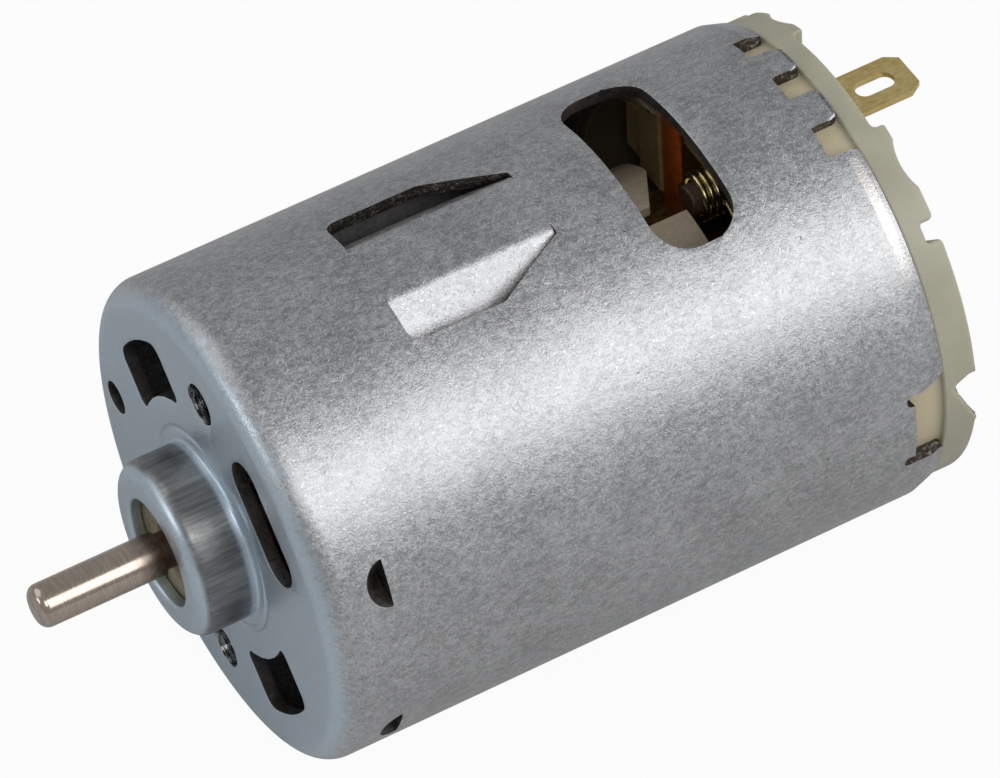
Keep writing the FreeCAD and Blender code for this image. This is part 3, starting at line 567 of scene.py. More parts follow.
def prism(corners, low, high):
    """An upright prism from (x, y) corners."""
    piece = draw("prism", corners, closed=True)
    bpy.ops.mesh.edge_face_add()
    bpy.ops.transform.translate(value=(0, 0, low))
    bpy.ops.mesh.extrude_region_move(TRANSFORM_OT_translate={"value": (0, 0, high - low)})
    close_mesh()
    return piece


def punch(corners, turn, low, high):
    """A tool for the side of the motor, from corners across it and along the shaft."""
    return turn_about_shaft(prism(corners, low, high), turn - UP_ANGLE)


def mirrored(piece, axis):
    """A mirrored copy with a mesh of its own."""
    only(piece)
    bpy.ops.object.duplicate()
    copy = bpy.context.object
    copy.scale[axis] = -1
    bpy.ops.object.transform_apply()
    open_mesh(copy)
    close_mesh()
    return copy


def together(pieces):
    """Join pieces into the first."""
    only(pieces[0])
    for piece in pieces:
        piece.select_set(True)
    bpy.ops.object.join()
    return bpy.context.object


def combine(piece, tools, operation):
    """Cut tools from a piece or weld them on, and throw the tools away."""
    tool = together(tools)
    only(piece)
    bpy.ops.object.modifier_add(type="BOOLEAN")
    modifier = piece.modifiers[-1]
    modifier.operation, modifier.object = operation, tool
    modifier.solver, modifier.use_self = "EXACT", True
    modifier.material_mode = "TRANSFER"
    bpy.ops.object.modifier_apply(modifier=modifier.name)
    bpy.data.objects.remove(tool)
    return piece


def soften(piece, width):
    """Round every edge sharper than 30 degrees a little."""
    only(piece)
    bpy.ops.object.modifier_add(type="BEVEL")
    modifier = piece.modifiers[-1]
    modifier.width, modifier.segments = width, 2
    modifier.limit_method, modifier.angle_limit = "ANGLE", math.radians(30)
    modifier.loop_slide = modifier.use_clamp_overlap = False
    bpy.ops.object.modifier_apply(modifier=modifier.name)
    return piece


def tidy_mesh(piece, distance):
    """Merge corners that are closer than a distance and clear the slivers they leave."""
    open_mesh(piece)
    bpy.ops.mesh.remove_doubles(threshold=distance)
    bpy.ops.mesh.dissolve_degenerate(threshold=distance / 2)
    bpy.ops.object.mode_set(mode="OBJECT")
    return piece


def settle(piece, name, body, slot, *nodes, smooth=32):
    """Bring a finished piece to metres and give it its place in the motor."""
    only(piece)
    piece.name = name
    piece.scale = (MM, MM, MM)
    bpy.ops.object.transform_apply()
    bpy.ops.object.shade_smooth_by_angle(angle=math.radians(smooth))
    bpy.ops.object.modifier_add(type="WEIGHTED_NORMAL")
    modifier = piece.modifiers[-1]
    modifier.keep_sharp = True
    bpy.ops.object.modifier_apply(modifier=modifier.name)
    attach(piece, body)
    if nodes:
        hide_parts(*nodes)
    return piece


# The can

STAKES = (24, -24, 156, 204)
RIM_CUTS = [
    # middle, width, depth from the tips, corner radius
    (90, 2.40, 2.3, 0.12), (73.1, 2.56, 2.3, 0.12), (106.9, 2.56, 2.3, 0.12),
    (0, 5.30, 2.6, 0.15), (9.3, 0.94, 3.2, 0.42), (-10.0, 0.94, 3.4, 0.42),
]
# The slanted lip beside each upper slot, as (across, along) corners
SLANT = [(0.2, 45.7), (-0.46, 45.7), (-0.50, 46.0), (-0.97, 47.6), (-1.2, 48.5), (0.2, 48.5)]
SLANT_ANGLE = 9.3
# The long plain sections of the rim: their ends, in degrees from +X or -X, and chamfer
LONG_EDGE = (11.5, 69.0)
CHAMFER_LENGTH, CHAMFER_DEPTH = 1.2, 0.35
# A lance: its hinge, far side and tip across the can, and the ends of its far side along it
HINGE, FAR, TIP = 2.49, 6.21, 3.3
FRONT, STRAIGHT, END = 13.2, 20.3, 25.9
LANCE_CORNER, KERF = 0.85, 0.05
# The front face: (size, place) of the slots, radius and place of the holes
FACE_SLOT, FACE_SLOT_TURNS, VENT_TURNS = ((4.2, 6, 9.1), (11.4, 1, 0)), (45, 225), (135, 315)
SCREW_HOLE, SCREW_BOSS, SCREW_PLACE, SCREW_TURNS = 1.5, 2.2, (12.5, 0), (90, 270)
SMALL_HOLE, SMALL_HOLE_PLACE = 1.23, (-14.15, 0)


def can_profile(can):
    """The section of the drawn cup, from the boss's hole round to it again."""
    radius, wall, tip = CAN_HIGH.x, can.wall, CAN_HIGH.y
    boss, hole, nose, edge = can.boss_radius, can.boss_hole, CAN_LOW.y, can.boss_edge
    inner, inner_corner = radius - wall, can.corner - wall
    lip, foot = 0.25, 0.22
    groove, groove_width, groove_depth = 7.35, 0.28, 0.12
    outer_rings = [3.6, 6, 9, 12, 15, 18, 21, 24, 27, 30, 33, 36, 39, 42, 44.5,
                   tip - CHAMFER_LENGTH, tip - 0.14]
    return (
        arc((hole + lip, nose + lip), lip, 180, 270, 4)
        + arc((boss - edge, nose + edge), edge, 270, 360, 8)
        + [(boss, -foot - 0.6)]
        + arc((boss + foot, -foot), foot, 180, 90, 4)
        + [(groove - 0.12, 0), (groove, groove_depth), (groove + groove_width, groove_depth),
           (groove + groove_width + 0.12, 0), (12.5, 0), (14.5, 0)]
        + arc((radius - can.corner, can.corner), can.corner, 270, 360, 12)
        + [(radius, place) for place in outer_rings]
        + [(radius, tip), (inner, tip)]
        + [(inner, place) for place in reversed(outer_rings)]
        + arc((inner - inner_corner, wall + inner_corner), inner_corner, 0, -90, 6)
        + [(12.0, wall), (boss - wall + 0.6, wall), (boss - wall, wall - 0.6),
           (boss - wall, nose + wall), (hole, nose + wall)]
    )


def lance_path(offset):
    """The cut side of a lance, from its front hinge end round to its rear one."""
    corner = arc((FAR - LANCE_CORNER, FRONT + LANCE_CORNER), LANCE_CORNER + offset, -90, 0, 6)
    return ([(HINGE, FRONT - offset)] + corner + [(FAR + offset, STRAIGHT + offset / 3),
            (TIP + offset / 2, END + offset), (HINGE, END + offset)])


def lance_slots():
    """The thin cuts that free the four lances on three sides."""
    above = prism(lance_path(0) + lance_path(KERF)[::-1], 12, CAN_HIGH.x + 2)
    slots = [above, mirrored(above, 0)]
    return slots + [mirrored(slot, 2) for slot in slots]


def bend_lances(piece, can):
    """Bend the freed tongues inwards about their hinge lines, gently at the hinge."""
    soft, slack = 0.9, KERF / 2
    height = math.sqrt(CAN_HIGH.x ** 2 - HINGE ** 2)
    slope = (FAR - TIP) / (END - STRAIGHT)
    centre = Vector((FAR - LANCE_CORNER, FRONT + LANCE_CORNER))
    for vert in piece.data.vertices:
        across, along, high = abs(vert.co.x), vert.co.y, abs(vert.co.z)
        edge = FAR - max(0.0, along - STRAIGHT) * slope + slack
        if high < 12 or not HINGE < across < edge or not FRONT - slack < along < END + slack:
            continue
        out = Vector((across, along)) - centre
        if out.x > 0 > out.y and out.length > LANCE_CORNER + slack:
            continue
        reach = min(1.0, (across - HINGE) / soft)
        angle = can.lance_tilt * reach * reach * (3 - 2 * reach)
        dx, dz = across - HINGE, high - height
        vert.co.x = math.copysign(HINGE + dx * math.cos(angle) + dz * math.sin(angle), vert.co.x)
        vert.co.z = math.copysign(height - dx * math.sin(angle) + dz * math.cos(angle), vert.co.z)


def stake(turn, inwards, coating):
    """Half of a cone that points at the shaft, flat towards the magnets."""
    start_clean()
    overrun, radius, nose, rear = 0.5, 1.9, 0.12, 5.0
    base = radius + overrun
    bpy.ops.mesh.primitive_cone_add(
        vertices=48, radius1=base, radius2=nose, depth=base - nose,
        rotation=(0, -math.pi / 2, 0),
        location=(CAN_HIGH.x + overrun - inwards - (base - nose) / 2, rear, 0))
    cone = bpy.context.object
    bpy.ops.object.transform_apply()
    open_mesh(cone)
    bpy.ops.mesh.bisect(plane_co=(0, rear, 0), plane_no=(0, 1, 0), use_fill=True,
                        clear_outer=True)
    bpy.ops.mesh.select_all(action="SELECT")
    bpy.ops.transform.resize(value=(1, 0.8, 1), center_override=(0, rear, 0))
    close_mesh()
    return turn_about_shaft(coat(cone, coating), turn)


def vent_tool(turn):
    """A vent between two arcs about the shaft, with rounded corners."""
    half_width, inner, outer, corner, steps = 4.05, 9.8, 13.9, 0.85, 6
    spread_in = math.degrees(math.asin(half_width / inner))
    spread_out = math.degrees(math.asin(half_width / outer))
    inside = arc((0, 0), inner, spread_in, -spread_in, steps)
    outside = arc((0, 0), outer, -spread_out, spread_out, steps)
    tool = prism(inside + outside, -2, 4)
    open_mesh(tool)
    ends = {steps, 0, steps + 1, 2 * steps + 1}
    places = [Vector((*(inside + outside)[end], 0)) for end in ends]
    pick(tool, "edges", lambda edge: is_along(edge, 2) and any(
        (edge.verts[0].co.xy - place.xy).length < 0.01 for place in places))
    bpy.ops.mesh.bevel(offset=corner, segments=5, affect="EDGES")
    bpy.ops.object.mode_set(mode="OBJECT")
    tool.rotation_euler = (-math.pi / 2, 0, 0)
    bpy.ops.object.transform_apply()
    return turn_about_shaft(tool, turn)


def rim_notch(angle, width, depth, corner):
    """A notch in the rim with a rounded root and rounded lips."""
    half, tip, lip = width / 2, CAN_HIGH.y, 0.45
    side = ([(half + lip, tip + 1)] + arc((half + lip, tip - lip), lip, 90, 180, 5)
            + arc((half - corner, tip - depth + corner), corner, 0, -90, 4))
    return punch(side + [(-x, y) for x, y in reversed(side)], angle, 13, CAN_HIGH.x + 2)


def can_tools(can):
    """Everything that is pierced through the can."""
    radius = CAN_HIGH.x
    middle = can.window_start + can.window_length / 2
    size = (can.window_width, can.window_length, 2 * radius + 4)
    # The window, face slots, vents, small hole and the stakes' flat sides get near-black walls:
    # painted shade inside the openings.
    dark = [block(size, (0, middle, 0), corner=can.window_corner, along="Z", steps=10)]
    dark += [block(*FACE_SLOT, turn, corner=1.9) for turn in FACE_SLOT_TURNS]
    dark += [vent_tool(turn) for turn in VENT_TURNS]
    dark.append(rod(SMALL_HOLE, -1, 3, SMALL_HOLE_PLACE))
    torn = []
    for turn in (0, 180):
        for angle, width, depth, corner in RIM_CUTS:
            torn.append(rim_notch(angle + turn, width, depth, corner))
        torn.append(punch(SLANT, SLANT_ANGLE + turn, 13, radius + 2))
    torn += lance_slots()
    turned = [rod(SCREW_HOLE, -1, 4, SCREW_PLACE, turn) for turn in SCREW_TURNS]
    for tools, name in ((dark, "dark_break"), (torn, "sheared_steel"), (turned, "cut_thread")):
        for tool in tools:
            coat(tool, name)
    return dark + torn + turned + [stake(turn, 0, "dark_break") for turn in STAKES]


def from_shaft(point):
    """A point's distance from the shaft's axis."""
    return math.hypot(point.x, point.z)


def around(point):
    """A point's angle about the shaft, folded into one quadrant."""
    return abs(math.degrees(math.atan2(point.z, abs(point.x))))


def on_tooth_back(edge):
    """The outer rear edges of the short teeth, with their rounded corners."""
    return all(vert.co.y > CAN_HIGH.y - 0.47 and from_shaft(vert.co) > CAN_HIGH.x - 0.01
               and not LONG_EDGE[0] < around(vert.co) < LONG_EDGE[1]
               for vert in edge.verts) and edge.calc_face_angle(0) > 0.6


def on_burr(edge):
    """The pierced edges, without those of the lances, the stakes and the rim."""
    lance = [12 < abs(vert.co.z) and FRONT - 0.5 < vert.co.y < END + 0.5
             and HINGE - 0.5 < abs(vert.co.x) < FAR + 0.5 for vert in edge.verts]
    stake = [2.0 < vert.co.y < 5.3 and abs(vert.co.x) > 13 for vert in edge.verts]
    rim = [vert.co.y > CAN_HIGH.y - 3.6 for vert in edge.verts]
    return (edge.calc_face_angle(0) > 0.52 and not all(lance) and not all(stake)
            and not any(rim))


def chamfer_rim(piece):
    """Draw in the outer edge of the long rim sections, ring by ring from a crisp line."""
    start = CAN_HIGH.y - CHAMFER_LENGTH

    def on_edge(vert):
        return (from_shaft(vert.co) > CAN_HIGH.x - 0.3
                and LONG_EDGE[0] < around(vert.co) < LONG_EDGE[1])

    rings = {round(vert.co.y, 3) for vert in piece.data.vertices
             if vert.co.y > start + 0.01 and on_edge(vert)}
    open_mesh(piece)
    for ring in sorted(rings):
        scale = 1 - CHAMFER_DEPTH * (ring - start) / CHAMFER_LENGTH / CAN_HIGH.x
        pick(piece, "verts", lambda vert: round(vert.co.y, 3) == ring and on_edge(vert))
        bpy.ops.transform.resize(value=(scale, 1, scale), center_override=(0, 0, 0))
    pick(piece, "edges", lambda edge: all(
        abs(vert.co.y - start) < 0.01 and on_edge(vert) for vert in edge.verts))
    bpy.ops.mesh.mark_sharp()
    bpy.ops.object.mode_set(mode="OBJECT")


class MOTOR_OT_can(bpy.types.Operator):
    """Build the drawn steel can"""
    bl_idname = "motor.can"
    bl_label = "Can"

    def execute(self, context):
        can = context.scene.motor_can
        piece = coat(lathe("can", can_profile(can), can.segments), "plated_steel",
                     "sheared_steel")
        welds = [stake(turn, 0.85, "plated_steel") for turn in STAKES]
        welds += [coat(rod(SCREW_BOSS, 0.5, 2.0, SCREW_PLACE, turn), "plated_steel")
                  for turn in SCREW_TURNS]
        combine(piece, welds, "UNION")
        combine(piece, can_tools(can), "DIFFERENCE")
        tidy_mesh(piece, 0.03)
        round_edges(piece, 0.34, 4, on_tooth_back)
        chamfer_rim(piece)
        round_edges(piece, can.burr, 2, on_burr)
        bend_lances(piece, can)
        settle(piece, "can", "housing", "can_steel", "motor_can")
        return {"FINISHED"}


# The end bell

# (across, along) corners of the ramp, and (size, place) of the tan blocks beside a brush
SIDE_RAMP = [(-2.4, 52), (-2.4, 50.4), (-2.2, 49.8), (-1.8, 48.95), (-1.5, 48.7), (2.0, 50.35),
             (2.0, 52)]
CARD_BLOCKS = (((3.0, 4.2, 8.0), (-9.6, 42.4, 7.2)), ((2.7, 3.8, 5.0), (-12.2, 42.6, 5.7)))


def on_rib_end(edge, height):
    """The radial edges where a stretch of the rib ends."""
    one, other = (vert.co for vert in edge.verts)
    return (min(one.y, other.y) > height - 0.02 and edge.calc_face_angle(0) > 0.6
            and abs(from_shaft(one) - from_shaft(other)) > 1.5)


def on_back_wall(point, height):
    """The flat wall between the rib and the rear boss."""
    return abs(point.y - height) < 0.05 and 6.4 < from_shaft(point) < 14.5


class MOTOR_OT_end_bell(bpy.types.Operator):
    """Build the moulded end bell"""
    bl_idname = "motor.end_bell"
    bl_label = "End bell"

    def execute(self, context):
        bell = context.scene.motor_bell
        rim, fit, floor, rib_end = BELL_HIGH.x, 16.88, 43.85, bell.rim_end + 0.9
        inside, skirt = 15.63, BELL_LOW.y + 0.5
        pocket, pocket_floor, pocket_top, hub, eye = 3.5, 46.1, 51.25, 4.9, 2.4
        profile = [
            (hub, floor), (inside, floor), (inside, skirt), (fit, skirt),
            (fit, bell.rim_start), (rim, bell.rim_start), (rim, rib_end),
            (bell.rib_inner, rib_end), (bell.rib_inner, bell.rim_end), (6.2, bell.rim_end),
            (5.0, bell.rim_end + 0.6), (4.75, BELL_HIGH.y), (eye, BELL_HIGH.y),
            (eye, pocket_top), (pocket, pocket_top), (pocket, pocket_floor), (hub, pocket_floor),
        ]
        piece = coat(lathe("bell", profile, 192), "ivory_nylon")
        tools = []
        for turn in (90, 270):
            # The rib's gap, the terminal's slot, the cut in the skirt and two finger scoops
            tools.append(block((5, 3, 10.6), (15.9, bell.rim_end + 1.5, 0), turn, 0.4, "X", 4))
            tools.append(block((0.6, 9, 4.3), (14.0, 47, 0), turn))
            tools.append(block((3.4, 5.4, 17.0), (16.5, 40.7, 0), turn))
            tools += [drum(4.2, 6, (16, rib_end + 3.75, 0), turn + side) for side in (28.5, -28.5)]
        for turn in (0, 180):
            # The ramp at the side and two nicks in the rib
            tools.append(punch(SIDE_RAMP, turn, 12.5, 19))
            tools += [block((5, 3, 1.4), (16.0, rib_end + 0.4, 0), turn + side, 0.2, "X", 4)
                      for side in (45, -45)]
        # The four openings round the boss
        tools += [block((4.4, 9, 6.0), (10.2, 47, 0), turn, 1.2, "Y", 6)
                  for turn in (45, 135, 225, 315)]
        combine(piece, tools, "DIFFERENCE")
        posts = [coat(rod(1.15, BELL_LOW.y, floor + 1, (11.0, 0), turn), "phenolic")
                 for turn in (90, 270)]
        cards = [block(size, place, turn, corner=0.4, along="X")
                 for turn in (0, 180) for size, place in CARD_BLOCKS]
        combine(piece, posts + [coat(card, "tan_card") for card in cards], "UNION")
        tidy_mesh(piece, 0.015)
        round_edges(piece, 0.4, 4, lambda edge: on_rib_end(edge, rib_end))
        round_edges(piece, bell.rounding, 3, lambda edge: edge.calc_face_angle(0) > 0.52
                    and not any(on_back_wall(vert.co, bell.rim_end) for vert in edge.verts))
        settle(piece, "end_bell_cover", "housing", "bell_nylon", "end_bell")
        return {"FINISHED"}


# Shaft and bearing

class MOTOR_OT_shaft(bpy.types.Operator):
    """Turn the shaft and the front bush"""
    bl_idname = "motor.shaft"
    bl_label = "Shaft"

    def execute(self, context):
        radius, nose = SHAFT_HIGH.x, 0.75
        tip, rear = SHAFT_LOW.y, SHAFT_HIGH.y
        neck, neck_start, neck_end, chamfer = radius - 0.25, -4.3, -3.4, 0.5
        profile = [(0, tip)] + arc((radius - nose, tip + nose), nose, 270, 360, 8)
        profile += [(radius, -8), (radius, neck_start), (neck, neck_start), (neck, neck_end),
                    (radius, neck_end), (radius, 20), (radius, rear - chamfer),
                    (radius - chamfer, rear), (0, rear)]
        piece = coat(lathe("shaft_bar", profile, 96, closed=False), "ground_steel")
        settle(piece, "shaft_bar", "rotor", "shaft_steel", "shaft", smooth=40)

        low, high = box_mm("front_bearing")
        bore, outer, step = radius + 0.03, high.x, 0.4
        profile = [
            (bore, low.y + 0.2), (bore + 0.2, low.y), (outer - step, low.y),
            (outer, low.y + step), (outer, high.y - step), (outer - step, high.y),
            (bore, high.y),
        ]
        bush = coat(lathe("front_bush", profile, 128), "sintered_bronze")
        soften(bush, 0.08)
        settle(bush, "front_bush", "housing", "sintered_bronze", "front_bearing")
        return {"FINISHED"}


# Terminals

class MOTOR_OT_terminals(bpy.types.Operator):
    """Stamp the two terminals"""
    bl_idname = "motor.terminals"
    bl_label = "Terminals"

    def execute(self, context):
        half, end, top = box_mm("terminal_top")[1]
        thick, leg, foot, low_leg, rear, front = 0.5, 5.375, 2.1, 2.12, 43.6, 40.1
        blade, shoulder, point = 44, half - 0.12, (half - 0.75, end)
        corners = [
            (-leg, front), (-2.9, front), (-2.6, 39.25), (half, 39.15), (half, 41.5),
            (shoulder, blade), (shoulder, end - 0.95), point, (-point[0], end),
            (-shoulder, end - 0.95), (-shoulder, blade), (-half, rear), (-leg, rear),
        ]
        for node, turn in (("terminal_top", 0), ("terminal_bottom", 180)):
            piece = prism(corners, top - thick, top)
            eye = block((1.45, 3.0, 2), (0, 53.0, top), corner=0.7, along="Z", steps=6)
            combine(piece, [eye], "DIFFERENCE")
            for left, right, high in ((-leg, thick - leg, top - thick / 2),
                                      (-leg - foot, thick / 2 - leg, low_leg + thick)):
                strip = prism([(left, front), (right, front), (right, rear), (left, rear)],
                              low_leg, high)
                combine(piece, [strip], "UNION")
            turn_about_shaft(piece, turn)
            soften(coat(piece, "stamped_brass"), 0.06)
            settle(piece, node + "_strip", "housing", "brass_sheet", node)
        return {"FINISHED"}


# Windings and springs

def wire_piece(name, points, radius, closed=False, sides=3):
    """A round wire along points, made into a mesh."""
    curve = bpy.data.curves.new(name, "CURVE")
    curve.dimensions, curve.bevel_depth, curve.bevel_resolution = "3D", radius, sides
    curve.use_fill_caps = not closed
    spline = curve.splines.new("POLY")
    spline.points.add(len(points) - 1)
    for point, place in zip(spline.points, points):
        point.co = (*place, 1)
    spline.use_cyclic_u = closed
    piece = bpy.data.objects.new(name, curve)
    bpy.context.collection.objects.link(piece)
    only(piece)
    bpy.ops.object.convert(target="MESH")
    return bpy.context.object


def loop_points(out, half, front, rear, corner):
    """A rounded rectangle in the plane at a distance out from the shaft."""
    points, steps = [], 4
    for centre_z, centre_y, start in ((half - corner, rear - corner, 0),
                                      (corner - half, rear - corner, 90),
                                      (corner - half, front + corner, 180),
                                      (half - corner, front + corner, 270)):
        for step in range(steps + 1):
            angle = math.radians(start + 90 * step / steps)
            points.append((out, centre_y + corner * math.sin(angle),
                           centre_z + corner * math.cos(angle)))
    return points


class MOTOR_OT_former(bpy.types.Operator):
    """Mould the rear former, with one end of each flange cut back"""
    bl_idname = "motor.former"
    bl_label = "Rear former"

    def execute(self, context):
        piece = only(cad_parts["core_insulator_rear"])
        bpy.ops.object.duplicate()
        piece = bpy.context.object
        piece.scale = (1 / MM, 1 / MM, 1 / MM)
        bpy.ops.object.transform_apply()
        tidy_mesh(piece, 0.002)
        tools = [punch([(0.4, 35.2), (0.4, 40), (-4.4, 40), (-4.4, 37.6)], turn, 9.5, 12.5)
                 for turn in (94, 214, 334)]
        combine(piece, [coat(tool, "beige_former") for tool in tools], "DIFFERENCE")
        soften(coat(piece, "beige_former"), 0.1)
        settle(piece, "rear_former", "rotor", "former_plastic", "core_insulator_rear")
        return {"FINISHED"}


class MOTOR_OT_windings(bpy.types.Operator):
    """Wind the three coils turn by turn"""
    bl_idname = "motor.windings"
    bl_label = "Windings"

    def execute(self, context):
        wire, pitch, wobble = 0.33, 0.70, 0.06
        front, rear, first_row, first_half, limit = 6.7, 30.8, 3.65, 2.65, 9.1
        front_spread, rear_spread, corner_spread = 0.42, 0.88, 0.55
        slot_slope = math.tan(math.radians(60))
        dice = random.Random(4)
        turns = []
        for row in range(8):
            out = first_row + row * pitch
            for layer in range(6):
                half = first_half + wire + layer * pitch
                if math.hypot(out + wire, half + wire) > limit:
                    continue
                if half + wire > (out - 0.1) * slot_slope - 0.25:
                    continue
                shift = dice.uniform(-wobble, wobble)
                points = loop_points(
                    out + shift, half, front - wire - layer * front_spread,
                    rear + wire + layer * rear_spread + shift, 0.5 + layer * corner_spread)
                turns.append(wire_piece("turn", points, wire, closed=True, sides=2))
        coil = coat(together(turns), "enamelled_copper")
        for number, angle in enumerate((30, 150, 270), start=1):
            only(coil)
            bpy.ops.object.duplicate()
            copy = turn_about_shaft(bpy.context.object, angle)
            settle(copy, f"winding_{number}", "rotor", "copper_wire", f"coil_{number}", smooth=60)
        bpy.data.objects.remove(coil)
        return {"FINISHED"}


class MOTOR_OT_brush_leads(bpy.types.Operator):
    """Bend the copper lead beside each terminal's leg"""
    bl_idname = "motor.brush_leads"
    bl_label = "Brush leads"

    def execute(self, context):
        thick, low, high = 0.22, 2.2, 13.2
        start, end, front, bow, steps = -4.3, -9.6, 39.8, 1.5, 8
        near = [(start + (end - start) * step / steps, front + bow * (step / steps) ** 2)
                for step in range(steps + 1)]
        far = [(x, y + thick) for x, y in reversed(near)]
        for node, turn in (("lead_top", 0), ("lead_bottom", 180)):
            piece = coat(prism(near + far, low, high), "red_lacquer")
            turn_about_shaft(soften(piece, 0.04), turn)
            settle(piece, node, "housing", "copper_wire", smooth=40)
        return {"FINISHED"}


class MOTOR_OT_springs(bpy.types.Operator):
    """Coil the two brush springs"""
    bl_idname = "motor.springs"
    bl_label = "Brush springs"

    def execute(self, context):
        wire, radius, post = 0.3, 1.53, 11.0
        start, length, turns, steps = 38.4, 1.8, 3.5, 20
        shoulder, touch = (12.6, 4.5), (11.35, -1.2)
        for node, turn in (("spring_top", 0), ("spring_bottom", 180)):
            count = int(turns * steps)
            points = []
            for step in range(count + 1):
                angle = math.tau * (step / steps) - math.pi
                place = start + length * step / count
                points.append((radius * math.cos(angle), place, post + radius * math.sin(angle)))
            last = points[-1]
            points += [(shoulder[0] - 0.5, last[1], shoulder[1] + 0.4), (shoulder[0], last[1],
                       shoulder[1] - 0.3), (touch[0], last[1], touch[1])]
            piece = coat(wire_piece("spring", points, wire, sides=4), "bronze_wire")
            turn_about_shaft(piece, turn)
            settle(piece, node + "_wire", node, "spring_wire", node, smooth=60)
        return {"FINISHED"}


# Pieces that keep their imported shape

CARRIED = {
    "magnet_right": "ferrite", "magnet_left": "ferrite",
    "front_bearing_felt": "oil_felt", "front_bearing_retainer": "spring_steel",
    "rear_bearing": "sintered_bronze", "rear_bearing_felt": "oil_felt",
    "rear_bearing_retainer": "spring_steel",
    "brush_holder_right": "stamped_brass", "brush_holder_left": "stamped_brass",
    "rotor_core": "laminated_steel",
    "core_insulator_front": "beige_former",
    "commutator_hub": "phenolic", "commutator_bar_1": "turned_copper",
    "commutator_bar_2": "turned_copper", "commutator_bar_3": "turned_copper",
    "thrust_washer_front": "red_fibre", "thrust_washer_rear": "red_fibre",
    "spacer_front": "spring_steel", "spacer_middle": "red_fibre", "spacer_rear": "spring_steel",
    "brush_right": "carbon", "brush_left": "carbon",
}


class MOTOR_OT_internals(bpy.types.Operator):
    """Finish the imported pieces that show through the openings"""
    bl_idname = "motor.internals"
    bl_label = "Internals"

    def execute(self, context):
        for node, name in CARRIED.items():
            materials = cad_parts[node].data.materials
            materials.clear()
            materials.append(finish(name))
        return {"FINISHED"}


# Stage

# Place and size in metres, and power, of each lamp
LAMPS = {
    "key": ((0.495, 0.245, 0.488), (0.34, 0.52), 1.42),
    "lens": ((0.33, -0.12, 0.42), (0.22, 0.22), 0.38),
    "rear": ((0.30, 0.58, 0.36), (0.16, 0.26), 1.05),
    "fill": ((-0.5, -0.35, 0.6), (0.7, 0.7), 1.0),
    "front": ((-0.14, -0.8, 0.35), (0.36, 0.22), 0.6),
}
LIT_POINT = (0, 0.022, 0)
SKY, SKY_STRENGTH = (0.98, 0.99, 1.0, 1), 0.36
FLOOR_GREY, FLOOR_GLOW, FLOOR_GAP = (0.58, 0.58, 0.58), 0.955, 0.0005
# The point that the camera looks at, and its shift right and up in the picture
VIEW_POINT, VIEW_RIGHT, VIEW_UP = Vector((0, 0.025, 0)), -0.0021421, -0.000375


def soft_light(name, place, size, power):
    """A rectangular lamp that faces the motor."""
    start_clean()
    bpy.ops.object.light_add(type="AREA", location=place)
    lamp = bpy.context.object
    lamp.name = name
    lamp.data.shape, lamp.data.size, lamp.data.size_y = "RECTANGLE", size[0], size[1]
    lamp.data.energy = power
    direction = Vector(LIT_POINT) - Vector(place)
    lamp.rotation_euler = direction.to_track_quat("-Z", "Y").to_euler()


def floor_material():
    """A pale floor that the camera sees as white, with a trace of the motor's shadow."""
    floor = Finish("pale_floor", base_color=FLOOR_GREY, roughness=0.9)
    rays = floor.tree.nodes.new("ShaderNodeLightPath")
    seen = Wire(floor, rays.outputs["Is Camera Ray"]) * FLOOR_GLOW
    glow = floor.tree.nodes.new("ShaderNodeEmission")
    glow.inputs["Color"].default_value = (1, 1, 1, 1)
    blend = floor.tree.nodes.new("ShaderNodeMixShader")
    floor.feed(blend.inputs[0], seen)
    floor.tree.links.new(floor.shader.outputs[0], blend.inputs[1])
    floor.tree.links.new(glow.outputs[0], blend.inputs[2])
    output = next(node for node in floor.tree.nodes if node.type == "OUTPUT_MATERIAL")
    floor.tree.links.new(blend.outputs[0], output.inputs["Surface"])
    return floor.material


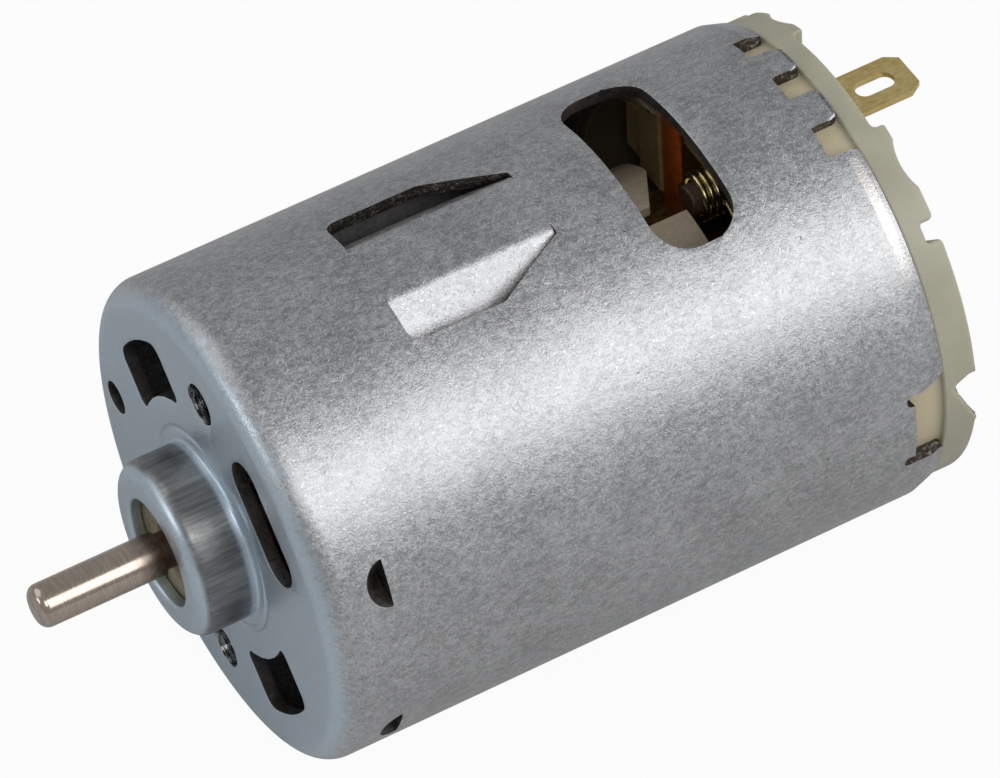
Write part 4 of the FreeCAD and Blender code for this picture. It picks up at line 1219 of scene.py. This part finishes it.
class MOTOR_OT_stage(bpy.types.Operator):
    """Set the floor, light and camera"""
    bl_idname = "motor.stage"
    bl_label = "Stage"

    def execute(self, context):
        scene, stage = context.scene, context.scene.motor_stage
        start_clean()
        floor_height = cad_bounds[0][2] - FLOOR_GAP
        bpy.ops.mesh.primitive_plane_add(size=6, location=(0, 0, floor_height))
        floor = bpy.context.object
        floor.name = "floor"
        floor.data.materials.append(floor_material())

        for name, lamp in LAMPS.items():
            soft_light(name, *lamp)

        world = bpy.data.worlds.new("studio")
        scene.world = world
        world.use_nodes = True
        background = world.node_tree.nodes["Background"]
        background.inputs["Color"].default_value = SKY
        background.inputs["Strength"].default_value = SKY_STRENGTH
        scene.view_settings.view_transform = "Standard"

        azimuth, elevation, roll = stage.azimuth, stage.elevation, stage.roll
        back = Vector((math.sin(azimuth) * math.cos(elevation),
                       -math.cos(azimuth) * math.cos(elevation), math.sin(elevation)))
        right = Vector((math.cos(azimuth), math.sin(azimuth), 0))
        up = back.cross(right)
        side = math.cos(roll) * right + math.sin(roll) * up
        rise = -math.sin(roll) * right + math.cos(roll) * up
        target = VIEW_POINT + side * VIEW_RIGHT + rise * VIEW_UP
        bpy.ops.object.camera_add()
        camera = bpy.context.object
        camera.matrix_world = Matrix.Translation(target + back * stage.distance) @ Matrix(
            (side, rise, back)).transposed().to_4x4()
        camera.data.lens, camera.data.sensor_width = stage.lens, 36
        camera.data.clip_start, camera.data.clip_end = 0.01, 20
        scene.camera = camera
        return {"FINISHED"}


class MOTOR_PT_panel(bpy.types.Panel):
    """Lists the pieces that can be built"""
    bl_idname = "MOTOR_PT_panel"
    bl_label = "Brushed motor"
    bl_space_type = "VIEW_3D"
    bl_region_type = "UI"
    bl_category = "Motor"

    def draw(self, context):
        for group in (context.scene.motor_can, context.scene.motor_bell,
                      context.scene.motor_finish, context.scene.motor_stage):
            for name in group.__annotations__:
                self.layout.prop(group, name)
        for operator in OPERATORS:
            self.layout.operator(operator.bl_idname)


GROUPS = {
    "motor_can": MOTOR_PG_can, "motor_bell": MOTOR_PG_bell, "motor_finish": MOTOR_PG_finish,
    "motor_stage": MOTOR_PG_stage,
}
OPERATORS = (
    MOTOR_OT_stage, MOTOR_OT_internals, MOTOR_OT_can, MOTOR_OT_end_bell, MOTOR_OT_shaft,
    MOTOR_OT_terminals, MOTOR_OT_former, MOTOR_OT_windings, MOTOR_OT_brush_leads, MOTOR_OT_springs,
)


def register():
    for name, group in GROUPS.items():
        bpy.utils.register_class(group)
        setattr(bpy.types.Scene, name, PointerProperty(type=group))
    for operator in OPERATORS:
        bpy.utils.register_class(operator)
    bpy.utils.register_class(MOTOR_PT_panel)


def unregister():
    bpy.utils.unregister_class(MOTOR_PT_panel)
    for operator in reversed(OPERATORS):
        bpy.utils.unregister_class(operator)
    for name, group in GROUPS.items():
        delattr(bpy.types.Scene, name)
        bpy.utils.unregister_class(group)


def main():
    register()
    for operator in OPERATORS:
        group, name = operator.bl_idname.split(".")
        getattr(getattr(bpy.ops, group), name)()


if __name__ == "__main__":
    main()
